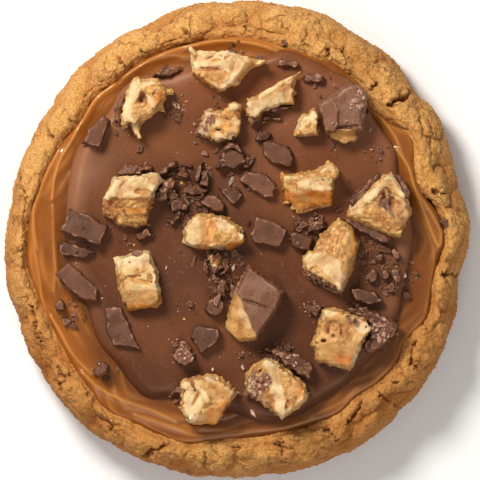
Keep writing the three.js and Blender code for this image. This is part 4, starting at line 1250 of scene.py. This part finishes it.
def candy_surface(corners, low, top, base, marks, seed):
    """A chunk's surface, with its slanting faces, lobes and pits, as points and quads."""
    high = max(top(*corner) for corner in corners) + 0.8
    origin, x, y, z = block_grid(corners, low, high, CANDY_STEP)
    wobble = 0.7 * noise_at(x, y, low, 1.7, seed) + 0.4 * noise_at(x, y, low, 0.8, seed + 1)
    frill = noise_at(x, y, low, 0.75, seed + 8)
    away = outline_distance(x[:, :, 0], y[:, :, 0], corners)[..., None] + 0.45 * wobble + 0.3 * frill
    plane = top(x, y)
    height = plane + 0.5 * noise_at(x, y, low, 4.5, seed + 2)
    for mark in marks:
        if mark["kind"] == "face":
            height = smooth_min(height, plane - mark["slope"] * past(mark, x, y), 0.4)
        elif mark["kind"] == "dig":
            height = height - mark["deep"] * smoothstep(1.2, 0.5, reach(mark, x, y) + 0.5 * wobble)
    flank = away + CANDY_INSET - CANDY_SLANT * np.clip(height - z, 0, 6)
    field = smooth_max(flank, z - height, 0.45)
    for mark in marks:
        if mark["kind"] == "add":
            out = reach(mark, x, y) + 0.35 * wobble
            rise = top(mark["x"], mark["y"]) + mark["lift"] - 0.3 * min(mark["wide"], 1.5) * out**2
            field = smooth_min(field, smooth_max((out - 1) * mark["wide"], z - rise, 0.5), 0.35)
    field = np.maximum(field, low - 0.5 - z)
    weights = zone_weights(base, marks, x, y, wobble)
    swell = sum(weights[zone] * amount for zone, (amount, _) in ROUGHNESS.items())
    broken = sum(weights[zone] * amount for zone, (_, amount) in ROUGHNESS.items())
    edge = np.clip(1 - np.abs(away + 0.4) / 0.8, 0, 1) * smoothstep(-0.1, 0.3, wobble)
    folds = creases(places(x, y, z), seed).reshape(field.shape)
    field = field + noise_at(x, y, z, 2.8, seed + 3) * swell
    field = field + 0.8 * folds * (broken + 0.7 * edge)
    return surface_of(field.astype(np.float32), origin, CANDY_STEP)


def candy_looks(points, corners, low, top, base, marks, seed):
    """A chunk's zones at each point, the painted shade in its dents and a painted highlight along its upper
    rim.
    """
    x, y, z = points.T
    wobble = 0.7 * noise_at(x, y, low, 1.7, seed) + 0.35 * noise(points, 0.8, seed + 6)
    weights = zone_weights(base, marks, x, y, wobble)
    granular = weights["golden"] + weights["crumble"] + weights["pit"]
    low_spots = 0.6 * smoothstep(0.0, 0.5, noise(points, 2.8, seed + 3))
    dent = low_spots + (1 - low_spots) * granular * smoothstep(-0.15, 0.25, creases(points, seed))
    # Painted highlight along the upper rim, except on caramel.
    inside = outline_distance(x, y, corners) + CANDY_INSET
    rim = np.exp(-((inside / 0.5) ** 2)) * smoothstep(1.2, 0.2, top(x, y) - z)
    rim = rim * smoothstep(-0.2, 0.4, noise(points, 2.2, seed + 7)) * (1 - weights["caramel"])
    return {"dent": dent, "rim": rim, **weights}


def candy_lump(name, corners, low, top, base, marks, seed):
    """A chunk of candy bar on an outline. `top` is its height as a function of x and y."""
    points, quads = candy_surface(corners, low, top, base, marks, seed)
    looks = candy_looks(points, corners, low, top, base, marks, seed)
    return finish_piece(make_piece(name, points, [quads], **looks), CANDY, "nougat")


def candy_chunk(node, seed):
    corners, low, top = block_shape(node)
    base, marks = CANDY_MARKS[node]
    piece = candy_lump(f"{node}_detail", corners, low, top, base, marks, seed)
    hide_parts(node)


# ---------------------------------------------------------------- broken chocolate


def chocolate_slab(corners, low, top, rough, seed):
    """Points and faces of a flat piece of broken chocolate, and the pale scuffing and painted highlight along
    its top edge. `top` is a function of x and y.
    """
    corners = np.array(corners, float)
    high = max(top(*corner) for corner in corners)
    origin, x, y, z = block_grid(corners, low, high, SHARD_STEP)
    ragged = (0.24 + 0.2 * rough) * noise_at(x, y, low, 0.8, seed + 1)
    outline = outline_distance(x[:, :, 0], y[:, :, 0], corners)[..., None]
    away = outline + (0.34 * noise_at(x, y, low, 2.2, seed) + ragged)
    above = z - top(x, y) + 0.22 * noise_at(x, y, low, 4, seed + 2)
    flank = away + SLAB_INSET - SLAB_SLANT * np.clip(-above, 0, 2)
    body = np.maximum(smooth_max(flank, above, 0.05 + 0.3 * rough), low - 0.5 - z)
    bites = 0.4 * noise_at(x, y, z, 1.9, seed + 3) + 0.26 * noise_at(x, y, z, 0.9, seed + 4)
    bites = bites + 0.2 * rough * noise_at(x, y, z, 0.55, seed + 7)
    amount = np.maximum(rough, 0.8 * np.clip(1 + away / 0.7, 0, 1) * np.clip(-above - 0.3, 0, 1))
    field = (body + bites * amount).astype(np.float32)
    points, quads = surface_of(field, origin, SHARD_STEP)

    x, y, z = points.T
    edge = SLAB_INSET + outline_distance(x, y, corners)
    edge = edge + 0.34 * noise_at(x, y, low, 2.2, seed) + 0.24 * noise_at(x, y, low, 0.8, seed + 1)
    # Pale scuffing and a painted highlight along the top edge.
    wear_and_highlight = np.exp(-((edge / 0.26) ** 2) - ((z - top(x, y)) / 0.35) ** 2)
    wear_and_highlight = wear_and_highlight * smoothstep(-0.1, 0.4, noise(points, 1.4, seed + 5))
    flecks = 0.9 * rough * smoothstep(0.26, 0.66, noise(points, 0.7, seed + 6))
    return points, quads, wear_and_highlight + flecks


def chocolate_block(node, seed):
    corners, low, top = block_shape(node)
    rough = 0.7 if node in ROUGH_PIECES else 0.0
    if node in ROUND_PIECES:
        corners = smooth_line(np.vstack([corners, corners[:1]]), 3)[:-1]
    points, quads, wear_and_highlight = chocolate_slab(corners, low, top, rough, seed)
    tone = np.full(len(points), (seed * 0.37) % 1)
    piece = make_piece(f"{node}_detail", points, [quads], edge=wear_and_highlight, tone=tone)
    finish_piece(piece, SHARD, "broken_chocolate", node)


def chocolate_bits():
    """The smaller slabs that lean on the candy or lie beside it, as one piece."""
    rng = np.random.default_rng(17)
    slabs, tones = [], []
    for number, (low, high, rough, corners) in enumerate(CHOCOLATE_BITS):
        slopes = rng.normal(0, 0.12, 2)
        top = tilted_plane(CHOCOLATE_TOP + high, np.mean(corners, 0), *slopes)
        slab = chocolate_slab(corners, CHOCOLATE_TOP + low, top, rough, 900 + 10 * number)
        slabs.append(slab)
        tones.append(np.full(len(slab[0]), rng.random() + (high > PALE_SLAB_TOP)))
    points, quads, wear_and_highlight = zip(*slabs)
    starts = np.cumsum([0] + [len(part) for part in points])
    quads = [part + start for part, start in zip(quads, starts)]
    looks = {"edge": np.concatenate(wear_and_highlight), "tone": np.concatenate(tones)}
    piece = make_piece("chocolate_bits", np.vstack(points), [np.vstack(quads)], **looks)
    finish_piece(piece, SHARD, "broken_chocolate")


# ---------------------------------------------------------------- crumbs


def plain_stone():
    """A ball of twelve points and its twenty faces, which point out."""
    golden = (1 + math.sqrt(5)) / 2
    ball = np.array([(0, s, t * golden) for s in (-1, 1) for t in (-1, 1)])
    ball = np.vstack([np.roll(ball, i, 1) for i in range(3)]) / math.hypot(1, golden)
    faces = []
    for face in itertools.combinations(range(12), 3):
        a, b, c = ball[list(face)]
        if max(np.linalg.norm(side) for side in (a - b, b - c, c - a)) < 1.1:
            outward = np.dot(np.cross(b - a, c - a), a) > 0
            faces.append(face if outward else face[::-1])
    return ball, np.array(faces)


def turned(points, turn):
    """Points turned about the upright axis, by an angle in radians."""
    c, s = math.cos(turn), math.sin(turn)
    return points @ np.array([[c, s, 0], [-s, c, 0], [0, 0, 1]])


def chip(rng, length, width, height):
    """A flat broken bit: a foot, a rim and a ring inside it, each of CHIP_CORNERS points."""
    turn = (np.arange(CHIP_CORNERS) + rng.uniform(-0.45, 0.45, CHIP_CORNERS)) / CHIP_CORNERS * TAU
    out = rng.uniform(0.6, 1.2, CHIP_CORNERS)
    ring = np.c_[0.5 * length * out * np.cos(turn), 0.5 * width * out * np.sin(turn)]
    tilt = rng.normal(0, 0.35, 2)
    dents = rng.uniform(-0.06, 0.06, CHIP_CORNERS) * height
    foot = np.c_[ring, -0.5 * height + ring @ tilt]
    rim = np.c_[0.88 * ring, 0.5 * height + ring @ tilt]
    inner = np.c_[0.62 * ring, 0.5 * height + 0.7 * ring @ tilt + dents]
    return np.vstack([foot, rim, inner])


def chips(name, material, slot, spots, seed):
    """Chips that lie on whatever is below them. A spot is x, y, length, width, height and turn."""
    rng = np.random.default_rng(seed)
    points, wear_and_highlight, tones = [], [], []
    for x, y, length, width, height, turn in spots:
        bit = chip(rng, length, width, height)
        # Each chip's top rim gets pale scuffing and a painted highlight.
        edge_wear_and_highlight = rng.uniform(0.2, 1.3)
        ground = ground_height(x, y)
        if ground is None:
            continue
        tones.append(np.full(3 * CHIP_CORNERS, rng.random()))
        wear_and_highlight.append(np.repeat([0, edge_wear_and_highlight, 0], CHIP_CORNERS))
        points.append(turned(bit, turn) + [x, y, ground + 0.3 * height])
    start = 3 * CHIP_CORNERS * np.arange(len(points))[:, None]
    corner = np.arange(CHIP_CORNERS)
    sides = (start[:, None] + ring_faces(3, CHIP_CORNERS)).reshape(-1, 4)
    lid = start + 2 * CHIP_CORNERS + corner
    base = start + corner[::-1]
    looks = {"edge": np.concatenate(wear_and_highlight), "tone": np.concatenate(tones)}
    piece = make_piece(name, np.vstack(points), [sides, lid, base], **looks)
    piece.data.shade_flat()
    return finish_piece(piece, material, slot)


def crumbs(name, material, slot, spots, seed):
    """Crumbs that lie on whatever is below them. A spot is x, y, length, width, height and turn."""
    rng = np.random.default_rng(seed)
    ball, ball_faces = plain_stone()
    points, faces = [], []
    for x, y, length, width, height, turn in spots:
        ground = ground_height(x, y)
        if ground is None:
            continue
        size = 0.5 * np.array([length, width, height])
        stone = ball * size * rng.uniform(0.65, 1.25, ball.shape)
        tip = rng.normal(0, 0.25)
        spun = turned(stone, turn)
        spun[:, 2] += tip * stone[:, 0]
        faces.append(ball_faces + len(ball) * len(points))
        points.append(spun + [x, y, ground + 0.22 * height])
    piece = make_piece(name, np.vstack(points), [np.vstack(faces)])
    piece.data.shade_flat()
    return finish_piece(piece, material, slot)


def ground_height(x, y):
    """The highest surface at a place, in millimetres."""
    hits = [tree.ray_cast(Vector((x * MM, y * MM, 0.05)), Vector((0, 0, -1)))[0] for tree in GROUND]
    heights = [hit.z / MM for hit in hits if hit]
    return max(heights) if heights else None


def scatter(patches, sizes, flatness, seed, on_top=0.12):
    """Spots in round patches, each patch being x, y, radius and count.

    Their sizes are spread from small to large. Of those that fall on top of the candy, the share `on_top`
    stays.
    """
    rng = np.random.default_rng(seed)
    spots = []
    for x, y, radius, count in patches:
        for _ in range(count):
            angle = rng.uniform(0, TAU)
            far = radius * math.sqrt(rng.random())
            spot = (x + far * math.cos(angle), y + far * math.sin(angle))
            size = sizes[0] + (sizes[1] - sizes[0]) * rng.random() ** 2.5
            shape = rng.uniform(flatness, 1, 2)
            turn = rng.uniform(0, TAU)
            stays = rng.random() < on_top
            ground = ground_height(*spot)
            if ground is None or (ground > CHOCOLATE_TOP + 1.6 and not stays):
                continue
            spots.append((*spot, size, size * shape[0], size * shape[1] * 0.7, turn))
    return spots


def laid(flats, height):
    """Spots for flat bits that are given as x, y, length, width and turn in degrees."""
    return [(x, y, length, width, height, math.radians(turn)) for x, y, length, width, turn in flats]


def scatter_crumbs():
    spots = scatter(CRUMB_PATCHES, (0.35, 1.9), 0.45, 5)
    spots += scatter([(0, 0, 40, 260), (0, 0, 46, 60)], (0.25, 0.8), 0.5, 6)
    spots += [(x, y, size, size * 0.85, size * 0.7, x + y) for x, y, size in LARGE_CRUMBS]
    spots += scatter(SHARD_PILES, (1.2, 3.6), 0.3, 13)
    chips("chocolate_crumbs", SHARD, "broken_chocolate", spots, 7)
    chips("chocolate_slivers", SHARD, "broken_chocolate", laid(SLIVERS, 0.7), 8)
    sparse = [(x, y, radius, count // 6) for x, y, radius, count in CRUMB_PATCHES]
    flakes = laid(PALE_FLAKES, 0.6) + scatter([(0, 0, 41, 60), *sparse], (0.25, 0.8), 0.3, 9)
    chips("pale_flakes", FLAKE, "broken_chocolate", flakes, 10)
    dusty = scatter(DUSTY_PATCHES, (0.4, 1.5), 0.5, 15, on_top=1)
    crumbs("dusty_crumbs", DUSTY_CRUMB, "broken_chocolate", dusty, 16)
    wider = [(x, y, radius + 0.5, count // 7) for x, y, radius, count in CRUMB_PATCHES]
    gold = scatter(wider, (0.3, 1.1), 0.6, 11)
    crumbs("nougat_crumbs", NOUGAT_CRUMB, "nougat", gold, 12)


# ---------------------------------------------------------------- stage


def area_light(name, place, target, size, power, colour=(1, 1, 1)):
    light = bpy.data.lights.new(name, "AREA")
    light.shape = "DISK"
    light.size = size * MM
    light.energy = power
    light.color = colour
    lamp = bpy.data.objects.new(name, light)
    lamp.location = Vector(place) * MM
    lamp.rotation_euler = (Vector(target) - Vector(place)).to_track_quat("-Z", "Y").to_euler()
    bpy.context.scene.collection.objects.link(lamp)


def stage():
    look = Look("pale_floor")
    look.colour = look.mix(look.noise(40, 2), (0.86, 0.86, 0.86), (0.9, 0.9, 0.9))
    look.set(Roughness=0.9, Specular_IOR_Level=0.1)
    half = 2000.0
    corners = [(-half, -half, 0), (half, -half, 0), (half, half, 0), (-half, half, 0)]
    floor = make_piece("floor", np.array(corners) - [0, 0, 0.02], [[(0, 1, 2, 3)]])
    floor.data.materials.append(look.finish())

    world = bpy.data.worlds.new("studio")
    world.use_nodes = True
    background = world.node_tree.nodes["Background"]
    background.inputs["Color"].default_value = (1.0, 0.985, 0.96, 1)
    background.inputs["Strength"].default_value = 0.31
    bpy.context.scene.world = world
    area_light("key", (-200, 280, 450), (0, 0, 10), 170, 3.4, (1.0, 0.965, 0.91))
    area_light("fill", (60, -300, 430), (0, 0, 10), 400, 0.75, (1.0, 0.97, 0.93))

    lens = bpy.data.cameras.new("camera")
    lens.sensor_width = SENSOR_WIDTH
    lens.lens = SENSOR_WIDTH * (CAMERA_HEIGHT - 8) / VIEW_WIDTH
    lens.clip_end = 20
    camera = bpy.data.objects.new("camera", lens)
    camera.location = Vector((VIEW_CENTRE_X, 0, CAMERA_HEIGHT)) * MM
    bpy.context.scene.collection.objects.link(camera)
    bpy.context.scene.camera = camera
    bpy.context.scene.view_settings.view_transform = "Standard"


# ---------------------------------------------------------------- the cookie put together

CANDY = candy_material()
SHARD = shard_material()
FLAKE = crumb_material("pale_flake", srgb(150, 112, 90), srgb(226, 200, 176))
DUSTY_CRUMB = crumb_material("dusty_crumb", srgb(140, 98, 76), srgb(206, 164, 138))
NOUGAT_CRUMB = crumb_material("nougat_crumb", srgb(150, 96, 50), srgb(214, 166, 100))

stage()
cookie()
caramel()
chocolate()
for number, node in enumerate(sorted(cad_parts)):
    if node.startswith("candy_chunk"):
        candy_chunk(node, 100 + 10 * number)
    elif node.startswith(("chocolate_piece", "stray_piece")):
        chocolate_block(node, 500 + 10 * number)
zone, marks, height, corners = NOUGAT_CURL
curl_top = tilted_plane(CHOCOLATE_TOP + height, (0, 0), 0, 0)
candy_lump("nougat_curl", np.array(corners), CHOCOLATE_TOP - 0.5, curl_top, zone, marks, 90)
chocolate_bits()
meshes = [thing for thing in bpy.context.scene.objects if thing.type == "MESH"]
ground_pieces = [mesh for mesh in meshes if mesh.name.endswith(GROUND_NAMES)]
GROUND = [BVHTree.FromObject(piece, bpy.context.evaluated_depsgraph_get()) for piece in ground_pieces]
scatter_crumbs()
